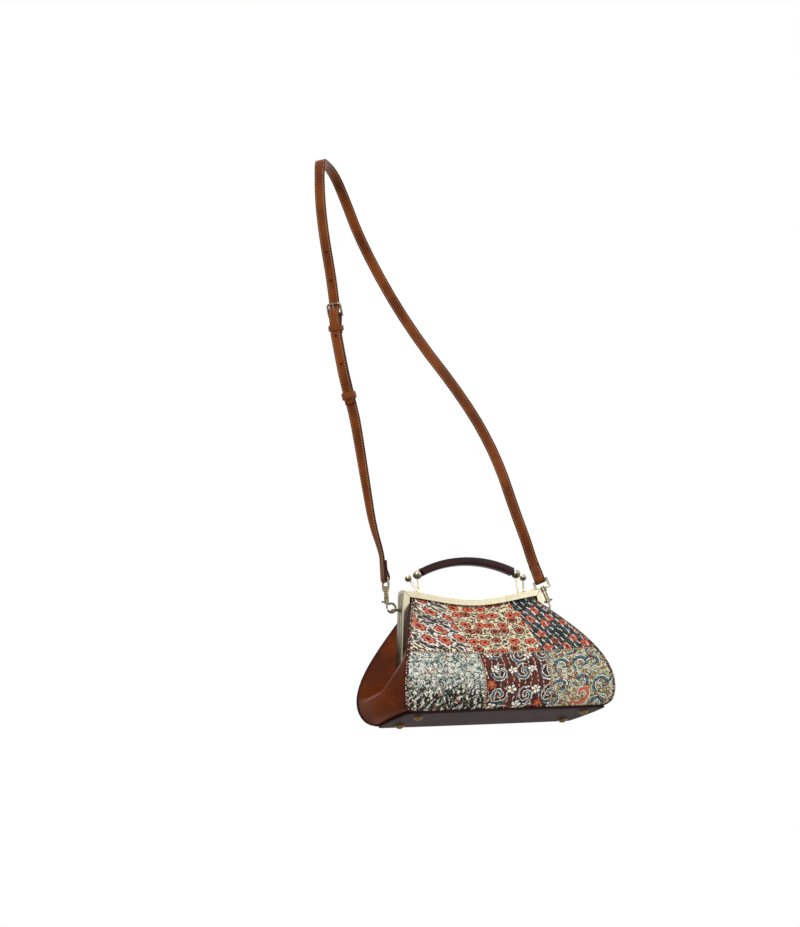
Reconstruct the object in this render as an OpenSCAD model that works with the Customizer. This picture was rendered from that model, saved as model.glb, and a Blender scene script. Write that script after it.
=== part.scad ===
// Hinged frame satchel with a ball clasp, an arched grip and a buckled shoulder strap.
// The bag is upright, +X to its right, +Y to its back, +Z up. It hangs from the shoulder bend
// of its strap, and that bend is the origin.

/* [Body] */
// Width of the base between its corner seams
base_w = 282; // [240:1:320]
// Depth of the base
base_d = 108; // [96:1:124]
// Thickness of the base leather
base_t = 3; // [2:0.5:4]
// Corner radius of the base
base_corner_r = 12; // [6:1:20]
// Thickness of the front and back leather
panel_t = 2; // [1.5:0.1:2.6]
// Thickness of the gusset leather
gusset_t = 1.6; // [1.2:0.1:2.2]
// How far the front panel bellies out
front_belly = 37; // [24:1:42]
// How far the back panel bellies out
back_belly = 15.5; // [6:0.5:22]
// How far the front panel swells at each side
front_swell = 19; // [10:1:26]
// How far the back panel swells at each side
back_swell = 33; // [14:1:34]
// How far the panels' edges stand inside the frame's top corners
mouth_inset = 12.5; // [11:0.5:20]
// Thickness of the lining cloth
lining_t = 1; // [0.6:0.1:1.4]
// Thickness of the base board
board_t = 2; // [1:0.5:3]

/* [Frame] */
// Width of the frame over its top corners
frame_w = 201; // [195:1:230]
// Height of the frame's top corners over the base
frame_h = 174; // [160:1:200]
// How far the frame stands behind the middle of the base
frame_setback = 24; // [10:1:30]
// Depth of the dip in the top rail
rail_dip = 13; // [4:1:20]
// Width of the rail face, its bevel included
rail_face = 9.5; // [8:0.5:12]
// Depth of a half at its outer edge
rail_edge = 7.5; // [6:0.1:8.5]
// Depth of a half over its flat face
rail_depth = 10.5; // [10:0.5:12]
// Width of the bevel between the edge and the flat face
rail_bevel = 1.5; // [0.8:0.1:2]
// How far the legs spread towards the hinge, each side
leg_flare = 14; // [8:1:20]
// Height of the leg ends over the base
leg_end_h = 70; // [60:1:80]
// Distance of the hinge pins below the leg ends
hinge_drop = 6; // [5:0.5:8]
// Diameter of the hinge pins
hinge_pin_d = 3; // [2.5:0.1:4]

/* [Clasp and grip] */
// Distance of the grip balls in from the frame's top corners
grip_inset = 28.5; // [24:0.5:36]
// Height of the grip balls over the frame's top corners
grip_ball_rise = 23; // [18:1:40]
// Diameter of the grip balls
grip_ball_d = 12.4; // [10:0.2:13]
// Diameter of the clasp balls
clasp_ball_d = 9.4; // [8:0.2:10]
// Diameter of the ball posts
post_d = 3; // [2.4:0.1:3.6]
// Rise of the grip's arch
grip_rise = 17.5; // [12:0.5:30]
// Radial thickness of the grip
grip_t = 11; // [9:0.5:12]
// Depth of the grip
grip_d = 13; // [10:0.5:16]

/* [Strap] */
// Drop from the shoulder to the side lugs
strap_drop = 615; // [450:5:700]
// Width of the strap
strap_w = 14.5; // [12:0.5:16]
// Thickness of the strap
strap_t = 2.6; // [2:0.1:3]
// Length of the folded strap ends
tab_len = 26; // [20:1:30]
// Spacing of the strap holes
hole_pitch = 38; // [30:1:45]
// Diameter of the strap holes
hole_d = 3.6; // [3:0.1:4.5]
// Diameter of the bars that the strap folds round
bar_d = 3; // [2.4:0.1:3.4]
// Height of the buckle between its bars
buckle_h = 16; // [14:0.5:20]

/* [Hooks] */
// Distance of the side lugs below the frame's top corners
lug_drop = 24; // [16:1:32]
// Radius of the hook bowl to the middle of its wire
bowl_r = 6; // [5.4:0.1:7]
// Diameter of the hook wire
hook_wire_d = 3; // [2.6:0.1:3.2]
// Outer diameter of the hook barrel
barrel_d = 6; // [5.6:0.1:7]
// Length of the hook barrel
barrel_len = 16; // [15:0.5:20]
// Diameter of the trigger rod
trigger_d = 2.4; // [2:0.1:2.6]
// Travel of the trigger
trigger_travel = 5; // [4:0.5:6]
// Diameter of the swivel neck
neck_d = 3; // [2.6:0.1:3.4]

/* [Feet] */
// Diameter of the feet
foot_d = 13; // [10:0.5:16]
// Height of the feet
foot_h = 5; // [4:0.5:8]
// Distance of the feet from the base's side seams
foot_inset_x = 24; // [18:1:40]
// Distance of the feet from the base's front and back seams
foot_inset_y = 23; // [16:1:32]

/* [Hidden] */
$fn = 48;
// Clearance between soft pieces that lie side by side
soft_gap = 0.3;
// Clearance between pieces that move past each other
move_gap = 0.4;
// Radial clearance of the hinge and swivel bores
running_fit = 0.05;
leather = "sienna";
dark_leather = "#3a2a28";
print_leather = "tan";
brass = "#d8d0a8";
old_brass = "#b0905a";
cloth = "#6a5a4a";
grip_leather = "#2b1418";
frame_y = frame_setback;
mouth_w = frame_w - 2 * mouth_inset;
hinge_h = leg_end_h - hinge_drop;
grip_ball_h = frame_h + grip_ball_rise;
lug_h = frame_h - lug_drop;

// Leather grids: number of steps across and up
panel_cols = 12;
gusset_strip_cols = 4;
body_rows = 14;
// Share of the panel height where the front leather bends when the frame opens
bend_share = 0.78;
// Where the bellies and swells are fullest: powers of the share of height
front_belly_power = 0.75;
back_belly_power = 1.1;
front_swell_power = 0.7;
back_swell_power = 0.6;
// Height share at which the back swell has died away
back_swell_top_share = 0.88;
// Height shares between which the side fold dies away
fold_low_share = 0.1;
fold_high_share = 0.33;
// How far the side folds tuck in behind the frame legs
fold_tuck = 11;
// How far the gussets bulge out between their seams
gusset_bulge = 7;
// How far the panels crown across their width
panel_crown = 4;

// Rail section: wall of the lips and depth of the groove that holds the leather
rail_lip = 2;
groove_depth = 5.5;
groove_lip = 3.5;
rail_gap = 0.4;
rail_steps = 20;
rail_dip_power = 1.5;
// Clearance of the leather from the legs
leg_clear = 1;
// Depth of a seam between a panel and a gusset
seam_t = panel_t + soft_gap + gusset_t;
// How far the leather stands in the groove
groove_hold = 4;
// Room below the rail where the leather turns up
groove_entry = 2;

function lerp(a, b, t) = a + (b - a) * t;
function unit(v) = v / norm(v);
function clamp01(t) = min(1, max(0, t));
function ease(t) = clamp01(t) * clamp01(t) * (3 - 2 * clamp01(t));
function hump(w, power) = sin(180 * pow(w, power));

// Frame outline in the frame's plane
function rail_z(x) = frame_h - rail_dip * pow(sin(180 * clamp01(x / frame_w + 1 / 2)), rail_dip_power);
function leg_spread(z) = leg_flare * (frame_h - min(z, frame_h)) / (frame_h - leg_end_h);
function leg_out(z) = frame_w / 2 + leg_spread(max(z, leg_end_h));
function leg_in(z) = leg_out(z) - rail_face;
frame_path = concat([[-leg_out(leg_end_h), leg_end_h]],
  [for (i = [0 : rail_steps]) let (x = frame_w * (i / rail_steps - 1 / 2)) [x, rail_z(x)]],
  [[leg_out(leg_end_h), leg_end_h]]);
function path_side(a, b) = let (d = unit(b - a)) [d[1], -d[0]];
function mitre(i) = i == 0 ? [1, 0] : i == len(frame_path) - 1 ? [-1, 0] :
  let (a = path_side(frame_path[i - 1], frame_path[i]), b = path_side(frame_path[i], frame_path[i + 1]))
  (a + b) / (1 + a * b);
rail_section = [[rail_face, rail_gap / 2], [0, rail_gap / 2], [0, rail_edge], [rail_bevel, rail_depth],
  [rail_face, rail_depth], [rail_face, rail_depth - rail_lip],
  [rail_face - groove_depth + rail_bevel, rail_depth - rail_lip],
  [rail_face - groove_depth, rail_edge - rail_lip],
  [rail_face - groove_depth, groove_lip], [rail_face, groove_lip]];
// Where the leather stands in the groove, out from the frame's plane
groove_y = (rail_depth - rail_lip + groove_lip + panel_t) / 2;

// Body outline by share of height
body_z0 = base_t + soft_gap;
function top_z(x) = rail_z(x) - rail_face - groove_entry;
function front_y(w) = lerp(-base_d / 2, frame_y - groove_y, w) - front_belly * hump(w, front_belly_power);
function back_y(w) = lerp(base_d / 2, frame_y + groove_y, w) + back_belly * hump(w, back_belly_power);
function front_half(w) = lerp(base_w, mouth_w, w) / 2 + front_swell * hump(w, front_swell_power);
function back_free(w) = lerp(base_w, mouth_w, w) / 2 +
  back_swell * hump(min(1, w / back_swell_top_share), back_swell_power);
// The back leather stays between the legs where it is as far forward as they are
function back_half(w) = back_y(w) > frame_y + rail_depth + leg_clear + seam_t ? back_free(w) :
  min(back_free(w), leg_in(height(w, mouth_w / 2)) - leg_clear);
function height(w, x) = lerp(body_z0, top_z(x), w);
function tuck(w) = ease((w - fold_low_share) / (fold_high_share - fold_low_share));

// Strap route: offsets from the middle between the lugs as shares of the drop, and outward facings
function strap_at(s) = [0, frame_y, lug_h] + s * strap_drop;
strand_face = [-0.7, -0.72, 0];
keeper_low_share = [-0.248, -0.047, 0.403];
keeper_high_share = [-0.268, -0.057, 0.508];
buckle_low_share = [-0.28, -0.067, 0.587];
buckle_high_share = [-0.29, -0.09, 0.717];
front_shares = [[[-0.218, -0.015, 0.18], [-0.97, -0.25, -0.15]],
  [[-0.228, -0.025, 0.258], [-0.9, -0.45, -0.1]], [[-0.24, -0.038, 0.35], [-0.78, -0.62, 0]]];
over_shares = [[[-0.302, -0.102, 0.8], [-0.7, -0.7, 0.05]], [[-0.308, -0.113, 0.883], [-0.65, -0.72, 0.15]],
  [[-0.308, -0.132, 0.963], [-0.4, -0.5, 0.75]], [[-0.277, -0.073, 0.99], [-0.1, -0.1, 1]],
  [[-0.223, 0.01, 1.01], [0.1, 0.1, 1]], [[-0.18, 0.07, 0.997], [0.35, 0.6, 0.75]],
  [[-0.125, 0.102, 0.867], [0.5, 0.8, 0.3]], [[-0.033, 0.107, 0.683], [0.5, 0.85, 0.2]],
  [[0.072, 0.065, 0.491], [0.55, 0.82, 0.15]], [[0.123, 0.046, 0.358], [0.6, 0.78, 0.15]],
  [[0.15, 0.036, 0.22], [0.6, 0.78, 0.15]], [[0.167, 0.036, 0.159], [0.6, 0.78, 0.15]]];
shoulder_share = lerp(over_shares[3][0], over_shares[4][0], 1 / 2);
corner_shares = [1 / 4, 3 / 4];
stretch_shares = [0, 1 / 4, 1 / 2, 3 / 4, 1];
smooth_count = 2;
fold_steps = 8;
shoulder_point = strap_at(shoulder_share) - [0, 0, strap_t / 2];
buckle_low = strap_at(buckle_low_share);
buckle_high = strap_at(buckle_high_share);
keeper_low = strap_at(keeper_low_share);
keeper_high = strap_at(keeper_high_share);
buckle_up = unit(buckle_high - buckle_low);
buckle_face = square_to(strand_face, buckle_up);
keeper_up = unit(keeper_high - keeper_low);
keeper_face = square_to(strand_face, keeper_up);
// Distance of the heel bar along the buckle stretch, with the fixed keeper below it
heel_at = 26;
keeper_wall = 1.5;
fixed_keeper_h = 7;
fixed_keeper_at = heel_at - (tab_len + fixed_keeper_h) / 2 - 2 * soft_gap;
loose_keeper_h = 9;
// How far the strap's end reaches past the loose keeper
tail_reach = 8;
fold_r = bar_d / 2 + soft_gap + strap_t / 2;
tail_offset = strap_t + soft_gap;
// How far the buckle's top bar leans forward of its heel bar
buckle_lean = 4;

function square_to(n, d) = unit(n - d * (n * d));
function cut_corners(p) = concat([p[0]],
  [for (i = [0 : len(p) - 2], s = corner_shares) lerp(p[i], p[i + 1], s)], [p[len(p) - 1]]);
function smooth(p, rounds) = rounds <= 0 ? p : smooth(cut_corners(p), rounds - 1);
function join(p, n) = [p[0], p[1], p[2], n[0], n[1], n[2]];
function place_of(r) = [r[0], r[1], r[2]];
function face_of(r) = [r[3], r[4], r[5]];
// Rows for a fold round a bar: up is the way the strap leaves, face the side of its main layer
function fold(bar, up, face) = [for (i = [0 : fold_steps]) let (a = 180 * i / fold_steps,
  n = face * cos(a) - up * sin(a)) join(bar + n * fold_r, n)];
function tab(bar, up, face) = [join(bar - face * fold_r + up * fold_r, -face),
  join(bar + face * (fold_r - tail_offset) + up * tab_len / 2, -face),
  join(bar + face * (fold_r - tail_offset) + up * tab_len, -face)];
function stretch(a, b, face, offset) = [for (s = stretch_shares) join(lerp(a, b, s) + face * offset, face)];
function route(shares) = [for (r = shares) join(strap_at(r[0]), r[1])];

// Hooks: where the lug bar lies and which way each hook leans
lug_arm = 9.5;
lug_wire_d = 2;
// Room on each side of a hook, so that it clears the lug's arms as it swivels
lug_play = 1.5;
// Half the spacing of a lug's arms
lug_half = (hook_wire_d + lug_wire_d) / 2 + lug_play;
// How far the lug's arms are let into the frame
lug_seat = 2;
lug_y = frame_y + rail_gap + lug_wire_d / 2 + lug_half;
lug_x = leg_out(lug_h) + lug_arm;
left_lean = [0.02, -0.06, 1];
right_lean = [-0.16, 0.22, 0.96];
seat_drop = bowl_r - hook_wire_d / 2 - lug_wire_d / 2 - move_gap;
bowl_z = -bowl_r + hook_wire_d / 3;
bowl_start_deg = 130;
// How far below its middle the hook's tip ends
tip_drop_deg = 20;
tip_top = bowl_z - (bowl_r - hook_wire_d / 2) * sin(tip_drop_deg);
rod_low = tip_top + move_gap;
barrel_end = 2;
spring_len = 8;
spring_wire_d = 0.5;
spring_turns = 5;
spring_steps = 10;
spring_sides = 6;
rod_top = barrel_len - barrel_end - spring_len - move_gap;
bore_d = trigger_d + 2 * move_gap;
thumb_d = 2;
thumb_z = rod_top / 2;
thumb_len = 3.6;
thumb_knob_d = 3;
thumb_knob_t = 1.6;
collar_len = 5;
collar_d = 7;
ridge_d = 8.4;
ridge_t = 1.2;
head_t = 1.6;
head_d = 5.4;
eye_flange_t = 2;
eye_h = 11;
eye_z0 = barrel_len + move_gap;
eye_bar_z = eye_z0 + collar_len + eye_h;
eye_half = strap_w / 2 + 2 * soft_gap + bar_d / 2;

// Turn from upright to lean, with no twist
module lean_to(dir) {
  heading = atan2(dir[1], dir[0]);
  rotate([0, 0, heading])
    rotate([0, acos(unit(dir)[2]), 0])
      rotate([0, 0, -heading])
        children();
}
// The same turn for a point
function turn_z(p, a) = [p[0] * cos(a) - p[1] * sin(a), p[0] * sin(a) + p[1] * cos(a), p[2]];
function turn_y(p, a) = [p[0] * cos(a) + p[2] * sin(a), p[1], p[2] * cos(a) - p[0] * sin(a)];
function leaned(p, dir) = let (heading = atan2(dir[1], dir[0]))
  turn_z(turn_y(turn_z(p, -heading), acos(unit(dir)[2])), heading);
function lug_at(side) = [side * lug_x, lug_y, lug_h];
function lean_of(side) = unit(side < 0 ? left_lean : right_lean);
function hook_foot(side) = lug_at(side) - leaned([-side * bowl_r, 0, bowl_z - seat_drop], lean_of(side));
function eye_bar(side) = hook_foot(side) + leaned([0, 0, eye_bar_z], lean_of(side));
left_face = square_to([-1, 0, 0], lean_of(-1));
right_face = square_to([0.6, 0.78, 0], lean_of(1));
function end_face(side) = side < 0 ? left_face : right_face;

heel_bar = buckle_low + buckle_up * heel_at - buckle_face * fold_r;
buckle_tilt = atan(buckle_lean / buckle_h);

// Everything hangs from the shoulder point
module hung() {
  translate(-shoulder_point) children();
}
// Closed shell between two grids seen from outside, columns left to right, rows upward
module shell(outer, inner) {
  rows = len(outer);
  cols = len(outer[0]);
  points = concat([for (r = outer, p = r) p], [for (r = inner, p = r) p]);
  function o(r, c) = r * cols + c;
  function i(r, c) = rows * cols + r * cols + c;
  quads = concat(
    [for (r = [0 : rows - 2], c = [0 : cols - 2]) [o(r, c), o(r + 1, c), o(r + 1, c + 1), o(r, c + 1)]],
    [for (r = [0 : rows - 2], c = [0 : cols - 2]) [i(r, c), i(r, c + 1), i(r + 1, c + 1), i(r + 1, c)]],
    [for (c = [0 : cols - 2]) [o(0, c), o(0, c + 1), i(0, c + 1), i(0, c)]],
    [for (c = [0 : cols - 2]) [o(rows - 1, c + 1), o(rows - 1, c), i(rows - 1, c), i(rows - 1, c + 1)]],
    [for (r = [0 : rows - 2]) [o(r + 1, 0), o(r, 0), i(r, 0), i(r + 1, 0)]],
    [for (r = [0 : rows - 2]) [o(r, cols - 1), o(r + 1, cols - 1), i(r + 1, cols - 1), i(r, cols - 1)]]);
  polyhedron(points, [for (q = quads, t = [[q[0], q[1], q[2]], [q[0], q[2], q[3]]]) t]);
}
// Solid through closed rings of points, each ring clockwise seen from the end of the row.
// A ring's points pair up first with last, second with second last, and so on across its section.
module loft(rings) {
  count = len(rings[0]);
  last = (len(rings) - 1) * count;
  points = [for (r = rings, p = r) p];
  sides = [for (r = [0 : len(rings) - 2], k = [0 : count - 1])
    let (a = r * count + k, b = r * count + (k + 1) % count) [a, a + count, b + count, b]];
  ends = [for (k = [0 : count / 2 - 2]) each [[k, k + 1, count - 2 - k, count - 1 - k],
    [last + k, last + count - 1 - k, last + count - 2 - k, last + k + 1]]];
  polyhedron(points, [for (q = concat(sides, ends), t = [[q[0], q[1], q[2]], [q[0], q[2], q[3]]]) t]);
}
// Flat band along rows of place and facing
module band(rows, w, t) {
  count = len(rows);
  function along(i) = unit(place_of(rows[min(i + 1, count - 1)]) - place_of(rows[max(i - 1, 0)]));
  function face(i) = square_to(face_of(rows[i]), along(i));
  function edge(i, side, up) =
    place_of(rows[i]) + cross(along(i), face(i)) * side * w / 2 + face(i) * up * t / 2;
  shell([for (i = [0 : count - 1]) [edge(i, -1, 1), edge(i, 1, 1)]],
    [for (i = [0 : count - 1]) [edge(i, -1, -1), edge(i, 1, -1)]]);
}
// Frame of a place: local z along up, local x along the width, local -y along face
module set_at(place, up, face) {
  side = cross(face, up);
  multmatrix([[side[0], -face[0], up[0], place[0]], [side[1], -face[1], up[1], place[1]],
    [side[2], -face[2], up[2], place[2]], [0, 0, 0, 1]])
    children();
}
module rod(a, b, d) {
  v = b - a;
  translate(a) rotate([0, acos(v[2] / norm(v)), atan2(v[1], v[0])]) cylinder(d = d, h = norm(v));
}

// One half of the frame: side -1 is the front, 1 the back
module frame_half(side) {
  rings = [for (i = [0 : len(frame_path) - 1]) [for (s = side < 0 ? rail_section : reversed(rail_section))
    let (q = frame_path[i] + mitre(i) * s[0]) [q[0], frame_y + side * s[1], q[1]]]];
  loft(rings);
}
function reversed(p) = [for (i = [len(p) - 1 : -1 : 0]) p[i]];

// Hinge ears: the front ear laps outside the back one
ear_t = 2;
ear_d = 10;
ear_x = leg_in(leg_end_h) + ear_t * 3 / 4;
function ear_start(side) = side > 0 ? ear_x : ear_x + ear_t + move_gap;
pin_head_t = 1.3;
pin_head_d = 5;
module hinge_ears(side) {
  for (hand = [-1, 1])
    mirror([hand < 0 ? 1 : 0, 0, 0])
      translate([ear_start(side), frame_y, hinge_h]) {
        rotate([0, 90, 0]) cylinder(d = ear_d, h = ear_t);
        translate([0, side > 0 ? rail_gap / 2 : -ear_d / 2, 0])
          cube([ear_t, (ear_d - rail_gap) / 2, leg_end_h - hinge_h + rail_lip]);
      }
}
module hinge_bores(d) {
  for (hand = [-1, 1])
    translate([hand * (ear_x + ear_t), frame_y, hinge_h])
      rotate([0, 90, 0]) cylinder(d = d, h = 4 * ear_t, center = true);
}
module hinge_pin(hand) {
  length = 2 * ear_t + 2 * move_gap;
  color(old_brass) hung()
    mirror([hand < 0 ? 1 : 0, 0, 0])
      translate([ear_x, frame_y, hinge_h])
        rotate([0, 90, 0]) {
          cylinder(d = hinge_pin_d, h = length);
          translate([0, 0, -pin_head_t]) cylinder(d = pin_head_d, h = pin_head_t);
          translate([0, 0, length]) cylinder(d = pin_head_d, h = pin_head_t);
        }
}

// Posts of the clasp and the grip
stud_depth = 3.5;
stud_rise = 1.5;
collar_h = 1.2;
post_collar_d = 6;
// How far outside its grip post a clasp post is rooted
clasp_base_out = 4.5;
grip_x = frame_w / 2 - grip_inset;
grip_y = frame_y + rail_edge / 2;
clasp_base_x = grip_x + clasp_base_out;
clasp_base_y = frame_y - rail_edge / 2;
// Place of a clasp ball beside its grip ball
clasp_out = 12;
clasp_back = 4;
clasp_down = 4;
clasp_x = grip_x + clasp_out;
clasp_y = grip_y + clasp_back;
clasp_z = grip_ball_h - clasp_down;
module studs(x, y, d) {
  for (hand = [-1, 1])
    translate([hand * x, y, rail_z(x) - stud_depth]) cylinder(d = d, h = stud_depth + rail_dip);
}
module grip_post(hand) {
  foot_z = rail_z(grip_x + post_collar_d / 2);
  color(brass) hung()
    translate([hand * grip_x, grip_y, 0]) {
      translate([0, 0, rail_z(grip_x) - stud_depth])
        cylinder(d = post_d, h = grip_ball_h - rail_z(grip_x) + stud_depth);
      translate([0, 0, foot_z]) cylinder(d1 = post_collar_d, d2 = post_d, h = collar_h);
      translate([0, 0, grip_ball_h]) sphere(d = grip_ball_d);
    }
}
module clasp_post(hand) {
  foot = [hand * clasp_base_x, clasp_base_y, rail_z(clasp_base_x)];
  ball = [hand * clasp_x, clasp_y, clasp_z];
  color(brass) hung() {
    translate(foot - [0, 0, stud_depth]) cylinder(d = post_d, h = stud_depth + stud_rise);
    translate(foot + [0, 0, stud_rise]) sphere(d = post_d);
    rod(foot + [0, 0, stud_rise], ball, post_d);
    translate(ball) sphere(d = clasp_ball_d);
  }
}
module front_frame() {
  color(brass) hung()
    difference() {
      union() {
        frame_half(-1);
        hinge_ears(-1);
      }
      hinge_bores(hinge_pin_d + 2 * running_fit);
      studs(clasp_base_x, clasp_base_y, post_d);
    }
}
module back_frame() {
  color(brass) hung()
    difference() {
      union() {
        frame_half(1);
        hinge_ears(1);
      }
      hinge_bores(hinge_pin_d);
      studs(grip_x, grip_y, post_d);
      for (hand = [-1, 1]) lug_wire(hand);
    }
}

// Arched grip between the two grip balls
grip_r = (grip_x * grip_x + grip_rise * grip_rise) / (2 * grip_rise);
grip_corner_r = 3;
grip_end_in = 4.5;
grip_half_angle = asin((grip_x - grip_end_in) / grip_r);
module rounded_square(w, d, r) {
  square([w - 2 * r, d], center = true);
  square([w, d - 2 * r], center = true);
  for (x = [-1, 1], y = [-1, 1])
    translate([x * (w / 2 - r), y * (d / 2 - r)]) circle(r = r);
}
module grip() {
  color(grip_leather) hung()
    difference() {
      translate([0, grip_y, grip_ball_h + grip_rise - grip_r])
        rotate([90, 0, 0])
          rotate([0, 0, 90 - grip_half_angle])
            rotate_extrude(angle = 2 * grip_half_angle)
              translate([grip_r, 0]) rounded_square(grip_t, grip_d, grip_corner_r);
      for (hand = [-1, 1])
        translate([hand * grip_x, grip_y, grip_ball_h]) sphere(d = grip_ball_d + 2 * running_fit);
    }
}

// Front and back leather: share u across, share w up, inset into the bag
function crown(u, w) = panel_crown * (1 - u * u) * sin(180 * w);
function front_point(u, w, inset) =
  [u * front_half(w), front_y(w) - crown(u, w) + inset, height(w, u * mouth_w / 2)];
function back_point(u, w, inset) =
  [-u * back_half(w), back_y(w) + crown(u, w) - inset, height(w, u * mouth_w / 2)];
function held_point(u, side, inset) = [-side * u * mouth_w / 2, frame_y + side * (groove_y - inset),
  top_z(u * mouth_w / 2) + groove_entry + groove_hold];
across = [for (i = [0 : panel_cols]) 2 * i / panel_cols - 1];
function rise(low, high, steps) = [for (i = [0 : steps]) lerp(low, high, i / steps)];
bend_gap = soft_gap / (frame_h - rail_face - base_t);
top_rows = 4;
function front_grid(low, high, steps, inset) =
  [for (w = rise(low, high, steps)) [for (u = across) front_point(u, w, inset)]];
function back_grid(low, high, steps, inset) =
  [for (w = rise(low, high, steps)) [for (u = across) back_point(u, w, inset)]];
function held_row(side, inset) = [[for (u = across) held_point(u, side, inset)]];
module front_panel() {
  color(print_leather) hung()
    shell(front_grid(0, bend_share - bend_gap, body_rows, 0),
      front_grid(0, bend_share - bend_gap, body_rows, panel_t));
}
module front_panel_top() {
  color(print_leather) hung()
    shell(concat(front_grid(bend_share + bend_gap, 1, top_rows, 0), held_row(-1, 0)),
      concat(front_grid(bend_share + bend_gap, 1, top_rows, panel_t), held_row(-1, panel_t)));
}
module back_panel() {
  color(leather) hung()
    shell(concat(back_grid(0, 1, body_rows, 0), held_row(1, 0)),
      concat(back_grid(0, 1, body_rows, panel_t), held_row(1, panel_t)));
}
// Facings line the mouth from the lining's rim up to the frame
facing_in = panel_t + soft_gap;
facing_top_share = 0.97;
rim_share = 0.72;
// Share of the half-width that the facings cover
facing_w_share = 0.8;
function facing_point(side, u, w, inset) = side < 0 ? front_point(u, w, inset) : back_point(u, w, inset);
function facing_grid(side, low, inset) = [for (w = rise(low, facing_top_share, top_rows))
  [for (u = across) facing_point(side, u * facing_w_share, w, inset)]];
module front_facing() {
  low = bend_share + bend_gap;
  color(cloth) hung()
    shell(facing_grid(-1, low, facing_in), facing_grid(-1, low, facing_in + lining_t));
}
module back_facing() {
  color(cloth) hung()
    shell(facing_grid(1, rim_share, facing_in), facing_grid(1, rim_share, facing_in + lining_t));
}

// Folded side gussets: front seam, tucked pocket behind the legs, back seam
gusset_top_share = 0.95;
pocket_in = 2.5;
function strip_shares() = [for (i = [0 : gusset_strip_cols]) i / gusset_strip_cols];
function gusset_row(w) = let (
    yf = front_y(w) + seam_t,
    yb = back_y(w) - seam_t,
    z = height(w, mouth_w / 2),
    lip_f = max(frame_y - rail_depth - leg_clear, yf + soft_gap),
    lip_b = min(frame_y + rail_depth + leg_clear, yb - soft_gap),
    lip_x = leg_in(z) - leg_clear,
    plan = concat([for (s = strip_shares()) [lerp(yf, lip_f, s), lerp(front_half(w), lip_x, s)]],
      [[frame_y - rail_depth / 2, lip_x - pocket_in], [frame_y, lip_x - fold_tuck],
        [frame_y + rail_depth / 2, lip_x - pocket_in]],
      [for (s = strip_shares()) [lerp(lip_b, yb, s), lerp(lip_x, back_half(w), s)]]))
  [for (p = plan) let (v = (p[0] - yf) / (yb - yf),
      out = lerp(front_half(w), back_half(w), v) + gusset_bulge * sin(180 * v) * sin(180 * sqrt(w)))
    [-lerp(out, p[1], tuck(w)), p[0], z]];
function inward(row) = let (n = len(row) - 1) [for (i = [0 : n])
  let (d = row[min(i + 1, n)] - row[max(i - 1, 0)]) row[i] + gusset_t * unit([d[1], -d[0], 0])];
gusset_rows = [for (w = rise(0, gusset_top_share, body_rows)) gusset_row(w)];
module gusset(hand) {
  color(leather) hung()
    mirror([hand > 0 ? 1 : 0, 0, 0])
      shell([for (r = gusset_rows) reversed(r)], [for (r = gusset_rows) reversed(inward(r))]);
}

// Base with its board, lining and feet
board_inset = 7;
module base_panel() {
  color(dark_leather) hung()
    linear_extrude(base_t) rounded_square(base_w, base_d, base_corner_r);
}
module base_board() {
  color(cloth) hung()
    translate([0, 0, base_t + soft_gap])
      linear_extrude(board_t)
        rounded_square(base_w - 2 * board_inset, base_d - 2 * board_inset, base_corner_r);
}
lining_z0 = base_t + board_t + 2 * soft_gap;
lining_in = 5;
// How far the lining's corners stand inside the seams
lining_corner_in = 24;
// How far the lining is drawn in at its sides
waist_in = 14;
ring_half_shares = [-1, -0.6, 0, 0.6, 1];
lining_rows = 8;
// Share of height at the dip of the rail for a height taken at the corners
dip_share = (top_z(mouth_w / 2) - body_z0) / (top_z(0) - body_z0);
function lining_ring(w, t, z) = let (
    yf = front_y(w * dip_share) + lining_in + t,
    yb = back_y(w * dip_share) - lining_in - t,
    xf = front_half(w) - lining_corner_in - t,
    xb = back_half(w) - lining_corner_in - t,
    waist = lerp((xf + xb) / 2 + lining_in, leg_in(z) - fold_tuck - waist_in, tuck(w)) - t)
  concat([[-waist, frame_y - rail_depth, z]], [for (s = ring_half_shares) [s * xf, yf, z]],
    [[waist, frame_y - rail_depth, z], [waist, frame_y + rail_depth, z]],
    [for (s = ring_half_shares) [-s * xb, yb, z]], [[-waist, frame_y + rail_depth, z]]);
module lining() {
  shares = rise(0, rim_share, lining_rows);
  function level(w) = lerp(lining_z0, height(rim_share, mouth_w / 2), w / rim_share);
  color(cloth) hung()
    loft(concat([for (w = shares) lining_ring(w, 0, level(w))],
      [for (w = reversed(shares)) lining_ring(w, lining_t, max(level(w), lining_z0 + lining_t))]));
}
foot_flange_t = 1.4;
foot_steps = 8;
// Width of the flat rim round a foot's dome
foot_rim = 1.25;
foot_dome_w = foot_d - 2 * foot_rim;
// Share of the dome left flat where the foot stands
foot_flat_share = 0.94;
module foot() {
  reach = acos(1 - foot_flat_share);
  rotate_extrude()
    polygon(concat([[0, 0], [foot_d / 2, 0], [foot_d / 2, -foot_flange_t]],
      [for (i = [0 : foot_steps]) let (a = reach * i / foot_steps)
        [foot_dome_w / 2 * cos(a), -foot_flange_t - (foot_h - foot_flange_t) * sin(a) / sin(reach)]],
      [[0, -foot_h]]));
}
module feet() {
  color(old_brass) hung()
    for (x = [-1, 1], y = [-1, 1])
      translate([x * (base_w / 2 - foot_inset_x), y * (base_d / 2 - foot_inset_y), 0]) foot();
}

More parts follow.
